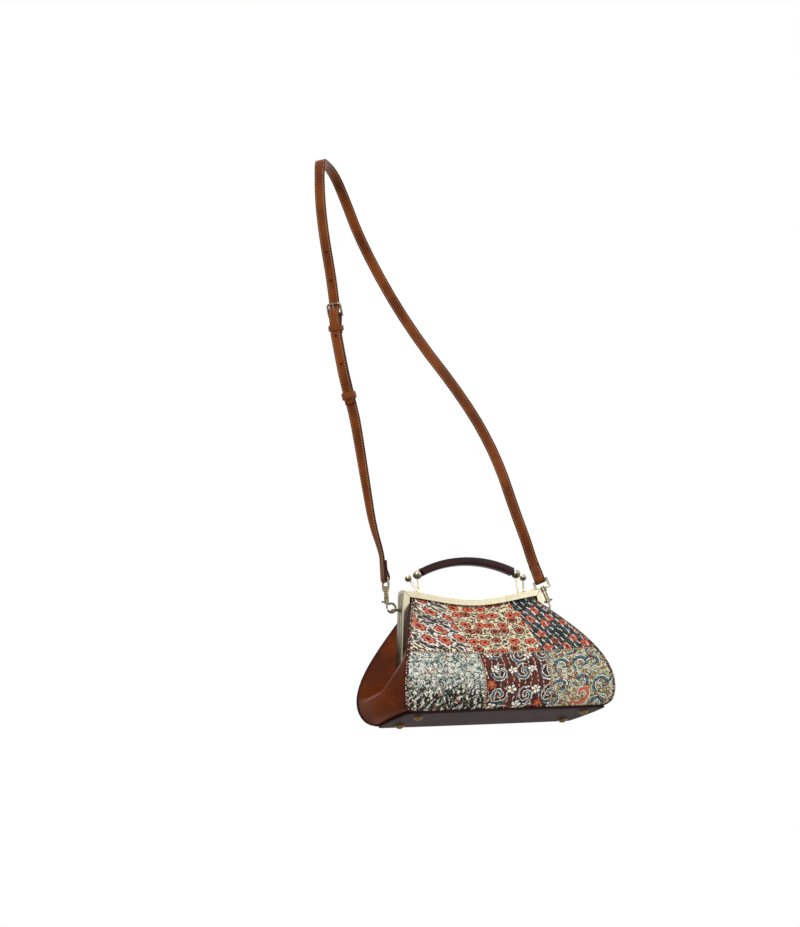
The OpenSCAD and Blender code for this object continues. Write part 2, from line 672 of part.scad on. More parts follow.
// Side lugs and the swivel hooks
module lug_wire(hand) {
  start = [lug_x - lug_arm - lug_seat, lug_x - lug_arm - lug_seat - rail_bevel];
  mirror([hand < 0 ? 1 : 0, 0, 0])
    for (k = [0, 1]) {
      y = lug_y + (2 * k - 1) * lug_half;
      rod([start[k], y, lug_h], [lug_x, y, lug_h], lug_wire_d);
    }
}
module side_lug(hand) {
  color(old_brass) hung() {
    lug_wire(hand);
    for (k = [-1, 1])
      translate([hand * lug_x, lug_y + k * lug_half, lug_h]) sphere(d = lug_wire_d);
    translate([hand * lug_x, lug_y - lug_half, lug_h])
      rotate([-90, 0, 0]) cylinder(d = lug_wire_d, h = 2 * lug_half);
  }
}
module at_hook(side) {
  hung()
    translate(hook_foot(side))
      lean_to(lean_of(side))
        mirror([side > 0 ? 1 : 0, 0, 0])
          children();
}
module hook(side) {
  neck_top = eye_z0 + collar_len + move_gap;
  color(brass)
    at_hook(side)
      difference() {
        union() {
          cylinder(d = barrel_d, h = barrel_len);
          cylinder(d = neck_d, h = neck_top + head_t);
          translate([0, 0, neck_top]) cylinder(d = head_d, h = head_t);
          translate([bowl_r, 0, bowl_z])
            rotate([90, 0, 0])
              rotate([0, 0, tip_drop_deg - 180])
                rotate_extrude(angle = 180 - tip_drop_deg + bowl_start_deg)
                  translate([bowl_r, 0]) circle(d = hook_wire_d);
        }
        translate([0, 0, -barrel_len]) cylinder(d = bore_d, h = 2 * barrel_len - barrel_end);
        translate([-barrel_d, -thumb_d / 2 - move_gap, thumb_z - thumb_d / 2 - move_gap])
          cube([barrel_d, thumb_d + 2 * move_gap, thumb_d + trigger_travel + 2 * move_gap]);
      }
}
module hook_trigger(side) {
  color(old_brass)
    at_hook(side) {
      translate([0, 0, rod_low]) cylinder(d = trigger_d, h = rod_top - rod_low);
      translate([-barrel_d / 2 - thumb_len, 0, thumb_z])
        rotate([0, 90, 0]) cylinder(d = thumb_d, h = barrel_d / 2 + thumb_len - trigger_d / 8);
      translate([-barrel_d / 2 - thumb_len, 0, thumb_z])
        rotate([0, 90, 0]) cylinder(d = thumb_knob_d, h = thumb_knob_t);
    }
}
module trigger_spring(side) {
  coil_r = trigger_d / 2 - spring_wire_d / 4;
  count = spring_turns * spring_steps;
  pitch = spring_len - move_gap - spring_wire_d;
  color("silver")
    at_hook(side)
      translate([0, 0, rod_top + move_gap / 2 + spring_wire_d / 2])
        loft([for (i = [0 : count]) let (a = 360 * i / spring_steps, z = pitch * i / count)
          [for (k = [0 : spring_sides - 1]) let (b = -360 * k / spring_sides, r = spring_wire_d / 2)
            [(coil_r + r * cos(b)) * cos(a), (coil_r + r * cos(b)) * sin(a), z + r * sin(b)]]]);
}
module swivel_eye(side) {
  color(brass) hung()
    set_at(hook_foot(side), lean_of(side), end_face(side))
      difference() {
        union() {
          translate([0, 0, eye_z0]) cylinder(d = collar_d, h = collar_len);
          for (z = [eye_z0, eye_z0 + 2 * ridge_t]) translate([0, 0, z]) cylinder(d = ridge_d, h = ridge_t);
          translate([-eye_half, -bar_d / 2, eye_z0 + collar_len - eye_flange_t])
            cube([2 * eye_half, bar_d, eye_flange_t]);
          for (x = [-1, 1]) {
            translate([x * eye_half, 0, eye_z0 + collar_len - eye_flange_t])
              cylinder(d = bar_d, h = eye_h + eye_flange_t);
            translate([x * eye_half, 0, eye_bar_z]) sphere(d = bar_d);
          }
          translate([-eye_half, 0, eye_bar_z]) rotate([0, 90, 0]) cylinder(d = bar_d, h = 2 * eye_half);
        }
        translate([0, 0, eye_z0]) cylinder(d = neck_d + 2 * running_fit, h = collar_len);
      }
}

// Strap: a short piece with the buckle and a long piece with the holes
leave_shares = [0.3, 0.8, 1.3];
function leave(side) = [for (s = leave_shares)
  join(eye_bar(side) + end_face(side) * fold_r + lean_of(side) * tab_len * s, end_face(side))];
heel_point = buckle_low + buckle_up * heel_at;
tail_start = loose_keeper_place() - keeper_up * (loose_keeper_h / 2 + tail_reach);
function loose_keeper_place() = lerp(keeper_low, keeper_high, 1 / 2);
function to_heel(offset) = [for (i = [0 : 3]) stretch(buckle_low, heel_point, buckle_face, offset)[i]];
// Strap past the heel bar, behind the top bar and on: height over the heel and offset from the heel bar
pass_shares = [[0.2, 1], [0.5, 0.5], [0.8, 0.05], [1.25, 0.05]];
function passing() = [for (p = pass_shares)
  join(heel_bar + buckle_up * buckle_h * p[0] + buckle_face * (fold_r + tail_offset) * p[1], buckle_face)];
short_rows = concat(reversed(tab(eye_bar(-1), lean_of(-1), left_face)),
  reversed(fold(eye_bar(-1), lean_of(-1), left_face)),
  smooth(concat(leave(-1), route(front_shares), stretch(keeper_low, keeper_high, keeper_face, 0),
    to_heel(0)), smooth_count),
  fold(heel_bar, -buckle_up, buckle_face),
  tab(heel_bar, -buckle_up, buckle_face));
long_rows = concat(smooth(concat([join(tail_start + keeper_face * tail_offset, keeper_face)],
    [for (s = [2 : 4]) stretch(keeper_low, keeper_high, keeper_face, tail_offset)[s]],
    to_heel(tail_offset), passing(), [join(buckle_high, buckle_face)], route(over_shares),
    reversed(leave(1))), smooth_count),
  fold(eye_bar(1), lean_of(1), right_face),
  tab(eye_bar(1), lean_of(1), right_face));
prong_d = 2.2;
prong_reach = 2;
prong_wall = 1;
prong_w = 3;
module at_buckle() {
  set_at(heel_bar, buckle_up, buckle_face) children();
}
module prong_rod(d) {
  rotate([buckle_tilt, 0, 0])
    translate([0, -(bar_d + prong_d) / 2, 0]) cylinder(d = d, h = buckle_h + prong_reach);
}
// Length along the strap to the row nearest a place
function steps(rows) = [for (i = [1 : len(rows) - 1]) norm(place_of(rows[i]) - place_of(rows[i - 1]))];
function sum_to(list, n) = n <= 0 ? 0 : list[n - 1] + sum_to(list, n - 1);
function nearest(rows, place) = let (d = [for (r = rows) norm(place_of(r) - place)]) search(min(d), d)[0];
function walk(rows, left, i = 0) = let (step = norm(place_of(rows[i + 1]) - place_of(rows[i])))
  left <= step ? lerp(rows[i], rows[i + 1], left / step) : walk(rows, left - step, i + 1);
prong_hole_at = sum_to(steps(long_rows), nearest(long_rows, heel_bar + buckle_up * buckle_h / 2));
hole_steps = [-2, -1, 1, 2];
module strap_holes() {
  for (k = hole_steps) {
    at = prong_hole_at + k * hole_pitch;
    here = walk(long_rows, at);
    ahead = walk(long_rows, at + hole_d);
    up = unit(place_of(ahead) - place_of(here));
    set_at(place_of(here), up, square_to(face_of(here), up))
      rotate([90, 0, 0]) cylinder(d = hole_d, h = 2 * strap_t, center = true);
  }
}
module long_strap() {
  color(leather) hung()
    difference() {
      band(long_rows, strap_w, strap_t);
      strap_holes();
      at_buckle() prong_rod(prong_d + 2 * move_gap);
    }
}
module short_strap() {
  slot = prong_w + 2 * move_gap;
  color(leather) hung()
    difference() {
      band(short_rows, strap_w, strap_t);
      at_buckle()
        translate([-slot / 2, -2 * fold_r, -2 * bar_d]) cube([slot, 4 * fold_r, 4 * bar_d]);
    }
}
buckle_half = strap_w / 2 + 2 * soft_gap + bar_d / 2;
buckle_corner_r = 4;
module buckle_frame() {
  color(brass) hung()
    at_buckle()
      rotate([buckle_tilt, 0, 0]) {
        translate([-buckle_half, 0, 0]) rotate([0, 90, 0]) cylinder(d = bar_d, h = 2 * buckle_half);
        for (x = [-1, 1]) {
          translate([x * buckle_half, 0, 0]) sphere(d = bar_d);
          translate([x * buckle_half, 0, 0]) cylinder(d = bar_d, h = buckle_h - buckle_corner_r);
          translate([x * (buckle_half - buckle_corner_r), 0, buckle_h - buckle_corner_r])
            rotate([90, 0, 0])
              rotate([0, 0, x > 0 ? 0 : 90])
                rotate_extrude(angle = 90)
                  translate([buckle_corner_r, 0]) circle(d = bar_d);
        }
        translate([-(buckle_half - buckle_corner_r), 0, buckle_h])
          rotate([0, 90, 0]) cylinder(d = bar_d, h = 2 * (buckle_half - buckle_corner_r));
      }
}
module buckle_prong() {
  color(old_brass) hung()
    at_buckle()
      difference() {
        union() {
          translate([-prong_w / 2, 0, 0])
            rotate([0, 90, 0]) cylinder(d = bar_d + 2 * prong_wall, h = prong_w);
          prong_rod(prong_d);
        }
        translate([-prong_w, 0, 0])
          rotate([0, 90, 0]) cylinder(d = bar_d + 2 * running_fit, h = 2 * prong_w);
      }
}
// Leather loop round the strap layers: front and back reach from the main layer
module keeper(front, back, h) {
  w = strap_w + 2 * move_gap;
  d = front + back + 2 * move_gap;
  translate([0, (back - front) / 2, -h / 2])
    linear_extrude(h)
      difference() {
        rounded_square(w + 2 * keeper_wall, d + 2 * keeper_wall, keeper_wall);
        square([w, d], center = true);
      }
}
module fixed_keeper() {
  reach = tail_offset + strap_t / 2;
  color(leather) hung()
    set_at(buckle_low + buckle_up * fixed_keeper_at, buckle_up, buckle_face)
      keeper(reach, reach, fixed_keeper_h);
}
module loose_keeper() {
  color(leather) hung()
    set_at(loose_keeper_place(), keeper_up, keeper_face)
      keeper(tail_offset + strap_t / 2, strap_t / 2, loose_keeper_h);
}

front_frame();
back_frame();
hinge_pin(-1);  // hinge_pin_left
hinge_pin(1);  // hinge_pin_right
grip_post(-1);  // grip_post_left
grip_post(1);  // grip_post_right
clasp_post(-1);  // clasp_post_left
clasp_post(1);  // clasp_post_right
grip();
front_panel();
front_panel_top();
back_panel();
gusset(-1);  // gusset_left
gusset(1);  // gusset_right
base_panel();
base_board();
lining();
front_facing();
back_facing();
feet();
side_lug(-1);  // side_lug_left
side_lug(1);  // side_lug_right
swivel_eye(-1);  // swivel_eye_left
swivel_eye(1);  // swivel_eye_right
hook(-1);  // hook_left
hook(1);  // hook_right
hook_trigger(-1);  // hook_trigger_left
hook_trigger(1);  // hook_trigger_right
trigger_spring(-1);  // trigger_spring_left
trigger_spring(1);  // trigger_spring_right
long_strap();
short_strap();
buckle_frame();
buckle_prong();
fixed_keeper();
loose_keeper();
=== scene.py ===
"""Looks of a hinged-frame satchel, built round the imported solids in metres.

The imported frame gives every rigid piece. This script dresses those pieces and adds the soft ones:
the printed front, the back, the folded gussets, the piping, the base, the lining, the grip, the
strap with its stitching and keepers, and the springs in the hooks.
"""

from __future__ import annotations

import logging
import math
from dataclasses import dataclass, field
from enum import Enum

import bpy
import numpy as np
from mathutils import Matrix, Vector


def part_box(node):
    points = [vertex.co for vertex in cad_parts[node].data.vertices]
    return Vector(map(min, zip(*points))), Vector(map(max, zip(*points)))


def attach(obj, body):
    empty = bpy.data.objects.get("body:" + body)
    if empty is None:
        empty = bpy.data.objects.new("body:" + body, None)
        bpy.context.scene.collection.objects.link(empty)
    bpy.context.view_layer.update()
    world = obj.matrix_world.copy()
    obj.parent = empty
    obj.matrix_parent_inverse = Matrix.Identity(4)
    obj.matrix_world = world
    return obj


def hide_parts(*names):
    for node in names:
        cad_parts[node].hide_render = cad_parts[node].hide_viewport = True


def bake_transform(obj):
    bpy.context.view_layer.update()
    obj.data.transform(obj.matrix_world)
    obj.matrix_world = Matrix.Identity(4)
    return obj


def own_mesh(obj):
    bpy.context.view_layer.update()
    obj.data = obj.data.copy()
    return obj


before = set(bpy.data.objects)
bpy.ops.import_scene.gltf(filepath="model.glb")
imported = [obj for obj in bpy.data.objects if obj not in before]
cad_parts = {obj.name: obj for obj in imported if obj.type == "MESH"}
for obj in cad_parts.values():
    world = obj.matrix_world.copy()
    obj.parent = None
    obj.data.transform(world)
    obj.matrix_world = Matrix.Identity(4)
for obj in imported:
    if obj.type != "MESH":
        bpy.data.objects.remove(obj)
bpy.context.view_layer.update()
LOG = logging.getLogger("satchel")
UP = np.array([0.0, 0.0, 1.0])
MIRROR = np.array([-1.0, 1.0, 1.0])
Array = np.ndarray
Material = bpy.types.Material
Object = bpy.types.Object
Colour = tuple[float, float, float]
Point = tuple[float, float, float]
Span = tuple[float, float]
Bend = tuple[Point, Point]
Route = tuple[tuple[float, ...], ...]
Stand = tuple[Array, Array, Array]


class Side(Enum):
    """A side of the bag, as the sign of its x."""

    LEFT = -1
    RIGHT = 1


class Panel(Enum):
    """A large panel of the bag, as the sign of its y."""

    FRONT = -1
    BACK = 1


class Body(Enum):
    """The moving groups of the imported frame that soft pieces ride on."""

    BAG = "bag"
    FRONT = "front_half"
    KEEPER = "keeper"


def linear(colour: Colour) -> tuple[float, float, float, float]:
    """Turn a display colour into the linear colour that a shader socket takes.

    Args:
        colour: red, green and blue as a screen shows them, 0 to 1.

    Returns:
        The linear colour with full alpha.
    """
    values = [c / 12.92 if c <= 0.04045 else ((c + 0.055) / 1.055) ** 2.4 for c in colour]
    return (values[0], values[1], values[2], 1.0)


class Sock:
    """A shader value whose arithmetic adds Math nodes."""

    def __init__(self, graph: Graph, socket: bpy.types.NodeSocket) -> None:
        """Wrap one output socket of a graph."""
        self.graph = graph
        self.socket = socket

    def _math(self, operation: str, *others: Sock | float) -> Sock:
        """Add one Math node on this value and the others."""
        inputs = {0: self, **{i + 1: other for i, other in enumerate(others)}}
        return self.graph.node("ShaderNodeMath", {"operation": operation}, inputs)

    def _reflected(self, operation: str, other: float) -> Sock:
        """Add one Math node with the number first."""
        return self.graph.node("ShaderNodeMath", {"operation": operation}, {0: other, 1: self})

    def _step(self, low: float, high: float, first: float, last: float) -> Sock:
        """Smooth step from the first value at low to the last at high."""
        settings = {"interpolation_type": "SMOOTHSTEP"}
        inputs = {0: self, 1: low, 2: high, 3: first, 4: last}
        return self.graph.node("ShaderNodeMapRange", settings, inputs)

    def __add__(self, other: Sock | float) -> Sock:
        """Sum."""
        return self._math("ADD", other)

    def __radd__(self, other: float) -> Sock:
        """Sum with a number first."""
        return self._reflected("ADD", other)

    def __sub__(self, other: Sock | float) -> Sock:
        """Difference."""
        return self._math("SUBTRACT", other)

    def __rsub__(self, other: float) -> Sock:
        """Difference with a number first."""
        return self._reflected("SUBTRACT", other)

    def __mul__(self, other: Sock | float) -> Sock:
        """Product."""
        return self._math("MULTIPLY", other)

    def __rmul__(self, other: float) -> Sock:
        """Product with a number first."""
        return self._reflected("MULTIPLY", other)

    def __truediv__(self, other: Sock | float) -> Sock:
        """Quotient."""
        return self._math("DIVIDE", other)

    def sin(self) -> Sock:
        """Sine."""
        return self._math("SINE")

    def cos(self) -> Sock:
        """Cosine."""
        return self._math("COSINE")

    def abs(self) -> Sock:
        """Size without sign."""
        return self._math("ABSOLUTE")

    def sqrt(self) -> Sock:
        """Square root."""
        return self._math("SQRT")

    def fraction(self) -> Sock:
        """What is left over a whole number."""
        return self._math("FRACT")

    def floor(self) -> Sock:
        """Whole number at or below."""
        return self._math("FLOOR")

    def angle(self, x: Sock) -> Sock:
        """Angle of the point whose height is this value and whose reach is x."""
        return self._math("ARCTAN2", x)

    def most(self, other: Sock | float) -> Sock:
        """Larger of two."""
        return self._math("MAXIMUM", other)

    def distance(self, other: Sock) -> Sock:
        """Distance from the middle of the point that has these two values."""
        return (self * self + other * other).sqrt()

    def rise(self, low: float, high: float) -> Sock:
        """Smooth step from 0 at low to 1 at high."""
        return self._step(low, high, 0.0, 1.0)

    def fall(self, low: float, high: float) -> Sock:
        """Smooth step from 1 at low to 0 at high."""
        return self._step(low, high, 1.0, 0.0)


class Graph:
    """The node tree of one material."""

    def __init__(self, name: str) -> None:
        """Start a material that holds only a shader and its output."""
        self.material = bpy.data.materials.new(name)
        self.material.use_nodes = True
        self.tree = self.material.node_tree
        self.shader = self.tree.nodes["Principled BSDF"]

    def node(
        self,
        kind: str,
        settings: dict[str, object] | None = None,
        inputs: dict[int | str, object] | None = None,
        out: int | str = 0,
    ) -> Sock:
        """Add one node of any kind.

        Args:
            kind: the node's type.
            settings: what is set on the node itself, before its sockets.
            inputs: values or links of its sockets, by place or name.
            out: the output to give back.

        Returns:
            The chosen output.
        """
        made = self.tree.nodes.new(kind)
        for key, value in (settings or {}).items():
            setattr(made, key, value)
        for key, value in (inputs or {}).items():
            if isinstance(value, Sock):
                self.tree.links.new(value.socket, made.inputs[key])
            else:
                made.inputs[key].default_value = value
        return Sock(self, made.outputs[out])

    def other(self, sock: Sock, out: int | str) -> Sock:
        """Another output of the node that a value comes from."""
        return Sock(self, sock.socket.node.outputs[out])

    def place(self) -> Sock:
        """Object coordinates, in metres."""
        return self.node("ShaderNodeTexCoord", out="Object")

    def uv(self) -> Sock:
        """The piece's own flat coordinates."""
        return self.node("ShaderNodeTexCoord", out="UV")

    def split(self, vector: Sock) -> tuple[Sock, Sock, Sock]:
        """The three parts of a vector."""
        x = self.node("ShaderNodeSeparateXYZ", None, {0: vector})
        return x, self.other(x, 1), self.other(x, 2)

    def join(self, x: Sock | float, y: Sock | float, z: Sock | float = 0.0) -> Sock:
        """A vector of three values."""
        return self.node("ShaderNodeCombineXYZ", None, {0: x, 1: y, 2: z})

    def vector(self, operation: str, *inputs: Sock | Point) -> Sock:
        """Add one Vector Math node on vectors."""
        settings = {"operation": operation}
        return self.node("ShaderNodeVectorMath", settings, dict(enumerate(inputs)))

    def mix(self, share: Sock | float, first: Sock | Colour, second: Sock | Colour) -> Sock:
        """Colour between two, first at share 0."""
        inputs = {0: share, 6: self.shade(first), 7: self.shade(second)}
        return self.node("ShaderNodeMix", {"data_type": "RGBA"}, inputs, 2)

    def layers(self, ground: Sock | Colour, *laid: tuple[Sock, Sock | Colour]) -> Sock | Colour:
        """Lay colours over a ground.

        Args:
            ground: colour at the bottom.
            laid: share and colour of each layer, from the bottom up.

        Returns:
            The colour that shows.
        """
        for share, colour in laid:
            ground = self.mix(share, ground, colour)
        return ground

    @staticmethod
    def shade(colour: Sock | Colour) -> object:
        """A colour as a socket takes it: links pass through."""
        return colour if isinstance(colour, Sock) else linear(colour)

    def noise(self, vector: Sock, scale: float, detail: float = 3.0, out: int | str = 0) -> Sock:
        """Soft noise from 0 to 1."""
        inputs = {"Vector": vector, "Scale": scale, "Detail": detail}
        return self.node("ShaderNodeTexNoise", None, inputs, out)

    def grain(self, vector: Sock, scale: float) -> Sock:
        """Distance from the nearest of scattered points, as pebbled leather has."""
        return self.node("ShaderNodeTexVoronoi", None, {"Vector": vector, "Scale": scale})

    def bump(self, height: Sock, strength: float, distance: float) -> None:
        """Feed a height to the shader's normal."""
        inputs = {"Height": height, "Strength": strength, "Distance": distance}
        self.feed("Normal", self.node("ShaderNodeBump", None, inputs))

    def feed(self, name: str, value: object) -> None:
        """Set or link one socket of the shader."""
        if isinstance(value, Sock):
            self.tree.links.new(value.socket, self.shader.inputs[name])
        else:
            self.shader.inputs[name].default_value = value


class WorldGraph(Graph):
    """The node tree of the surround."""

    def __init__(self, name: str) -> None:
        """Start a world that holds only a background and its output."""
        self.world = bpy.data.worlds.new(name)
        self.world.use_nodes = True
        self.tree = self.world.node_tree
        self.shader = self.tree.nodes["Background"]


@dataclass(frozen=True)
class Leather:
    """Smooth tanned leather with fine pores and cloudy colour."""

    name: str
    light: Colour
    dark: Colour
    roughness: float = 0.42
    shine: float = 0.12
    pores: float = 900.0
    fine: float = 420.0
    creases: float = 60.0
    clouds: float = 26.0
    depth: float = 0.00012

    def material(self) -> Material:
        """Make the material: cloud noise mixes two tones, pores and fine creases give the bump."""
        g = Graph(self.name)
        place = g.place()
        clouds = g.noise(place, self.clouds, 4.0).rise(0.3, 0.72)
        fine = g.noise(place, self.fine, 4.0)
        pores = g.grain(place, self.pores)
        share = clouds * 0.75 + fine.rise(0.35, 0.7) * 0.25
        g.feed("Base Color", g.mix(share, self.dark, self.light))
        g.feed("Roughness", fine.rise(0.2, 0.8) * 0.16 + (self.roughness - 0.08))
        g.feed("Specular IOR Level", self.shine)
        g.bump(pores * 0.6 + fine * 0.5 + g.noise(place, self.creases) * 1.4, 0.5, self.depth)
        return g.material


@dataclass(frozen=True)
class Metal:
    """Plated metal with fine brushing and a darker tarnish in patches."""

    name: str
    bright: Colour
    darkening: Colour
    roughness: float
    brush: Point = (900.0, 900.0, 60.0)
    patches: float = 60.0
    depth: float = 0.00005

    def material(self) -> Material:
        """Make the material: noise drawn out along the brushing sets tone, gloss and bump."""
        g = Graph(self.name)
        place = g.place()
        lines = g.noise(g.vector("MULTIPLY", place, self.brush), 1.0)
        worn = g.noise(place, self.patches, 4.0).rise(0.42, 0.78)
        share = worn * 0.6 + lines.rise(0.35, 0.75) * 0.3
        g.feed("Metallic", 1.0)
        g.feed("Base Color", g.mix(share, self.bright, self.darkening))
        g.feed("Roughness", lines.rise(0.25, 0.8) * 0.16 + self.roughness)
        g.bump(lines, 0.2, self.depth)
        return g.material


@dataclass(frozen=True)
class Thread:
    """Twisted sewing thread."""

    name: str
    colour: Colour
    shade: Colour
    twist: float = 2400.0
    roughness: float = 0.75
    depth: float = 0.0001

    def material(self) -> Material:
        """Make the material: fine noise breaks up the colour."""
        g = Graph(self.name)
        twist = g.noise(g.place(), self.twist, 2.0)
        g.feed("Base Color", g.mix(twist.rise(0.35, 0.7), self.colour, self.shade))
        g.feed("Roughness", self.roughness)
        g.bump(twist, 0.5, self.depth)
        return g.material


@dataclass(frozen=True)
class Weave:
    """Plain woven cloth."""

    name: str
    light: Colour
    dark: Colour
    pitch: float = 0.0011
    clouds: float = 90.0
    roughness: float = 0.85
    depth: float = 0.0002

    def material(self) -> Material:
        """Make the material: the product of two sines is the over and under of the threads."""
        g = Graph(self.name)
        x, y, z = g.split(g.place())
        turn = math.tau / self.pitch
        threads = ((x + y) * turn).sin() * (z * turn).sin()
        cloudy = g.noise(g.place(), self.clouds)
        g.feed("Base Color", g.mix(threads * 0.3 + cloudy * 0.5 + 0.1, self.dark, self.light))
        g.feed("Roughness", self.roughness)
        g.bump(threads, 0.4, self.depth)
        return g.material


@dataclass(frozen=True)
class Patchwork:
    """Printed patchwork of six old cloths, worked out in centimetres across and up the panel."""

    name: str = "patchwork_print"
    per_metre: float = 100.0
    row_seam: float = 8.9
    low_left_seam: float = -3.8
    low_right_seam: float = 5.5
    top_left_seam: float = -4.5
    top_right_seam: float = 5.2
    edge: float = 0.03
    soft_edge: float = 0.1
    hand: Point = (0.8, 0.8, 0.0)
    bead_pitch: float = 0.36
    bead_half: Span = (0.10, 0.34)
    # Colours that several cloths share
    bleached: Colour = (0.98, 0.97, 0.92)
    red: Colour = (0.80, 0.29, 0.19)
    brick: Colour = (0.47, 0.13, 0.09)
    indigo: Colour = (0.055, 0.05, 0.08)
    slate: Colour = (0.36, 0.45, 0.47)
    coral: Colour = (0.78, 0.41, 0.31)
    ochre: Colour = (0.74, 0.56, 0.26)
    oat: Colour = (0.84, 0.77, 0.66)
    # Trailing flowers
    cream: Colour = (0.98, 0.92, 0.80)
    lavender: Colour = (0.62, 0.58, 0.60)
    peach: Colour = (0.93, 0.62, 0.48)
    # Rosettes
    straw: Colour = (0.97, 0.90, 0.75)
    fawn: Colour = (0.74, 0.66, 0.54)
    soot: Colour = (0.09, 0.06, 0.06)
    parchment: Colour = (0.97, 0.90, 0.77)
    oxblood: Colour = (0.20, 0.06, 0.05)
    apricot: Colour = (0.92, 0.58, 0.42)
    garnet: Colour = (0.16, 0.05, 0.05)
    # Medallions
    teal: Colour = (0.12, 0.19, 0.19)
    bottle: Colour = (0.16, 0.30, 0.24)
    pewter: Colour = (0.42, 0.47, 0.49)
    jet: Colour = (0.03, 0.035, 0.04)
    salmon: Colour = (0.88, 0.58, 0.46)
    wine: Colour = (0.24, 0.09, 0.09)
    charcoal: Colour = (0.10, 0.10, 0.10)
    shadow: Colour = (0.09, 0.09, 0.10)
    # Meadow
    mint: Colour = (0.78, 0.80, 0.74)
    lichen: Colour = (0.44, 0.52, 0.48)
    olive: Colour = (0.33, 0.31, 0.12)
    pitch: Colour = (0.07, 0.075, 0.07)
    duck: Colour = (0.45, 0.57, 0.58)
    bark: Colour = (0.07, 0.05, 0.04)
    # Stitched scrolls
    maroon: Colour = (0.38, 0.17, 0.13)
    plum: Colour = (0.25, 0.13, 0.15)
    rust: Colour = (0.24, 0.10, 0.09)
    navy: Colour = (0.14, 0.22, 0.26)
    clay: Colour = (0.45, 0.33, 0.30)
    sloe: Colour = (0.06, 0.035, 0.04)
    # Paisleys
    beige: Colour = (0.84, 0.80, 0.69)
    sage: Colour = (0.72, 0.72, 0.57)
    umber: Colour = (0.20, 0.16, 0.11)
    steel: Colour = (0.17, 0.24, 0.26)
    ink: Colour = (0.05, 0.055, 0.06)
    peat: Colour = (0.12, 0.09, 0.07)
    # Seams and wear
    cocoa: Colour = (0.24, 0.13, 0.12)
    bone: Colour = (0.85, 0.72, 0.60)
    grime: Colour = (0.09, 0.06, 0.05)

    def cell(
        self, g: Graph, place: Sock, size: float, jitter: float
    ) -> tuple[Sock, Sock, Sock, Sock]:
        """Scatter motifs, one to a cell.

        Args:
            g: the material's nodes.
            place: flat coordinates.
            size: spacing of the motifs.
            jitter: 0 for a square lattice, 1 for a loose scatter.

        Returns:
            Place from the motif's middle across and up, and two random values of the motif.
        """
        settings = {"voronoi_dimensions": "2D"}
        inputs = {"Vector": place, "Scale": 1.0 / size, "Randomness": jitter}
        distance = g.node("ShaderNodeTexVoronoi", settings, inputs)
        x, y, _ = g.split(g.vector("SUBTRACT", place, g.other(distance, "Position")))
        first, second, _ = g.split(g.other(distance, "Color"))
        return x, y, first, second

    def strokes(
        self,
        g: Graph,
        place: Sock,
        size: float,
        length: float,
        width: float,
        lean: float = 0.0,
        spread: float = math.tau,
    ) -> Sock:
        """Scatter of brush strokes: an ellipse in each cell, turned about the lean at random.

        Args:
            g: the material's nodes.
            place: flat coordinates.
            size: spacing of the strokes.
            length: half the length of a stroke.
            width: half the width of a stroke.
            lean: angle that the strokes keep to.
            spread: range of angles about the lean.

        Returns:
            Mask of the strokes.
        """
        x, y, turn, _ = self.cell(g, place, size, 1.0)
        angle = turn * spread + (lean - spread / 2)
        c, s = angle.cos(), angle.sin()
        along, across = (x * c + y * s) / length, (y * c - x * s) / width
        return (along * along + across * across).fall(0.7, 1.3)

    @staticmethod
    def tilt(x: Sock, y: Sock, lean: float, stretch: float) -> tuple[Sock, Sock]:
        """Turn a motif's place by a lean and squeeze it along, so that it comes out long."""
        c, s = math.cos(lean), math.sin(lean)
        return (x * c + y * s) / stretch, y * c - x * s

    def flower(
        self, x: Sock, y: Sock, turn: Sock, reach: float, petals: int, depth: float = 0.17
    ) -> tuple[Sock, Sock]:
        """One flower.

        Args:
            x: place across from its middle.
            y: place up from its middle.
            turn: random value that turns it.
            reach: radius over its petals.
            petals: number of petals.
            depth: half the depth of the notches between them, as a share of the reach.

        Returns:
            Mask of the petals, and distance from the middle as a share of the petals' own reach.
        """
        lobes = (y.angle(x) * float(petals) + turn * math.tau).cos() * depth + (1.0 - depth)
        distance = x.distance(y) / (lobes * reach)
        return distance.fall(1.0 - self.edge / reach, 1.0 + self.edge / reach), distance

    @staticmethod
    def band(value: Sock, middle: float, half: float) -> Sock:
        """Mask of a line: 1 near the middle value, 0 beyond half as far again."""
        return (value - middle).abs().fall(half * 0.6, half * 1.4)

    @staticmethod
    def running_stitch(
        across: Sock, along: Sock, pitch: float, stitch: float, half: float
    ) -> Sock:
        """Rows of running stitch: a broken line every pitch, each row shifted from the last."""
        row = across / pitch
        shift = row.floor() * 0.37
        line = (row.fraction() - 0.5).abs().fall(half * 0.6 / pitch, half * 1.4 / pitch)
        return line * ((along / stitch + shift).fraction() - 0.5).abs().fall(0.28, 0.36)

    @staticmethod
    def scroll(x: Sock, y: Sock, reach: float, turns: float, chance: Sock) -> tuple[Sock, Sock]:
        """A curling scroll, whose angle winds with distance.

        Args:
            x: place across from its middle.
            y: place up from its middle.
            reach: radius of the scroll.
            turns: turns that it makes from its middle to its rim.
            chance: random value that sets which way it winds.

        Returns:
            Distance off the line of the scroll as a share of its pitch, and a mask of its reach.
        """
        way = chance.rise(0.5, 0.501) * 2.0 - 1.0
        distance = x.distance(y) / reach
        wound = (y.angle(x) * way / math.tau + distance * turns).fraction()
        return (wound - 0.5).abs(), distance.fall(0.93, 1.0)

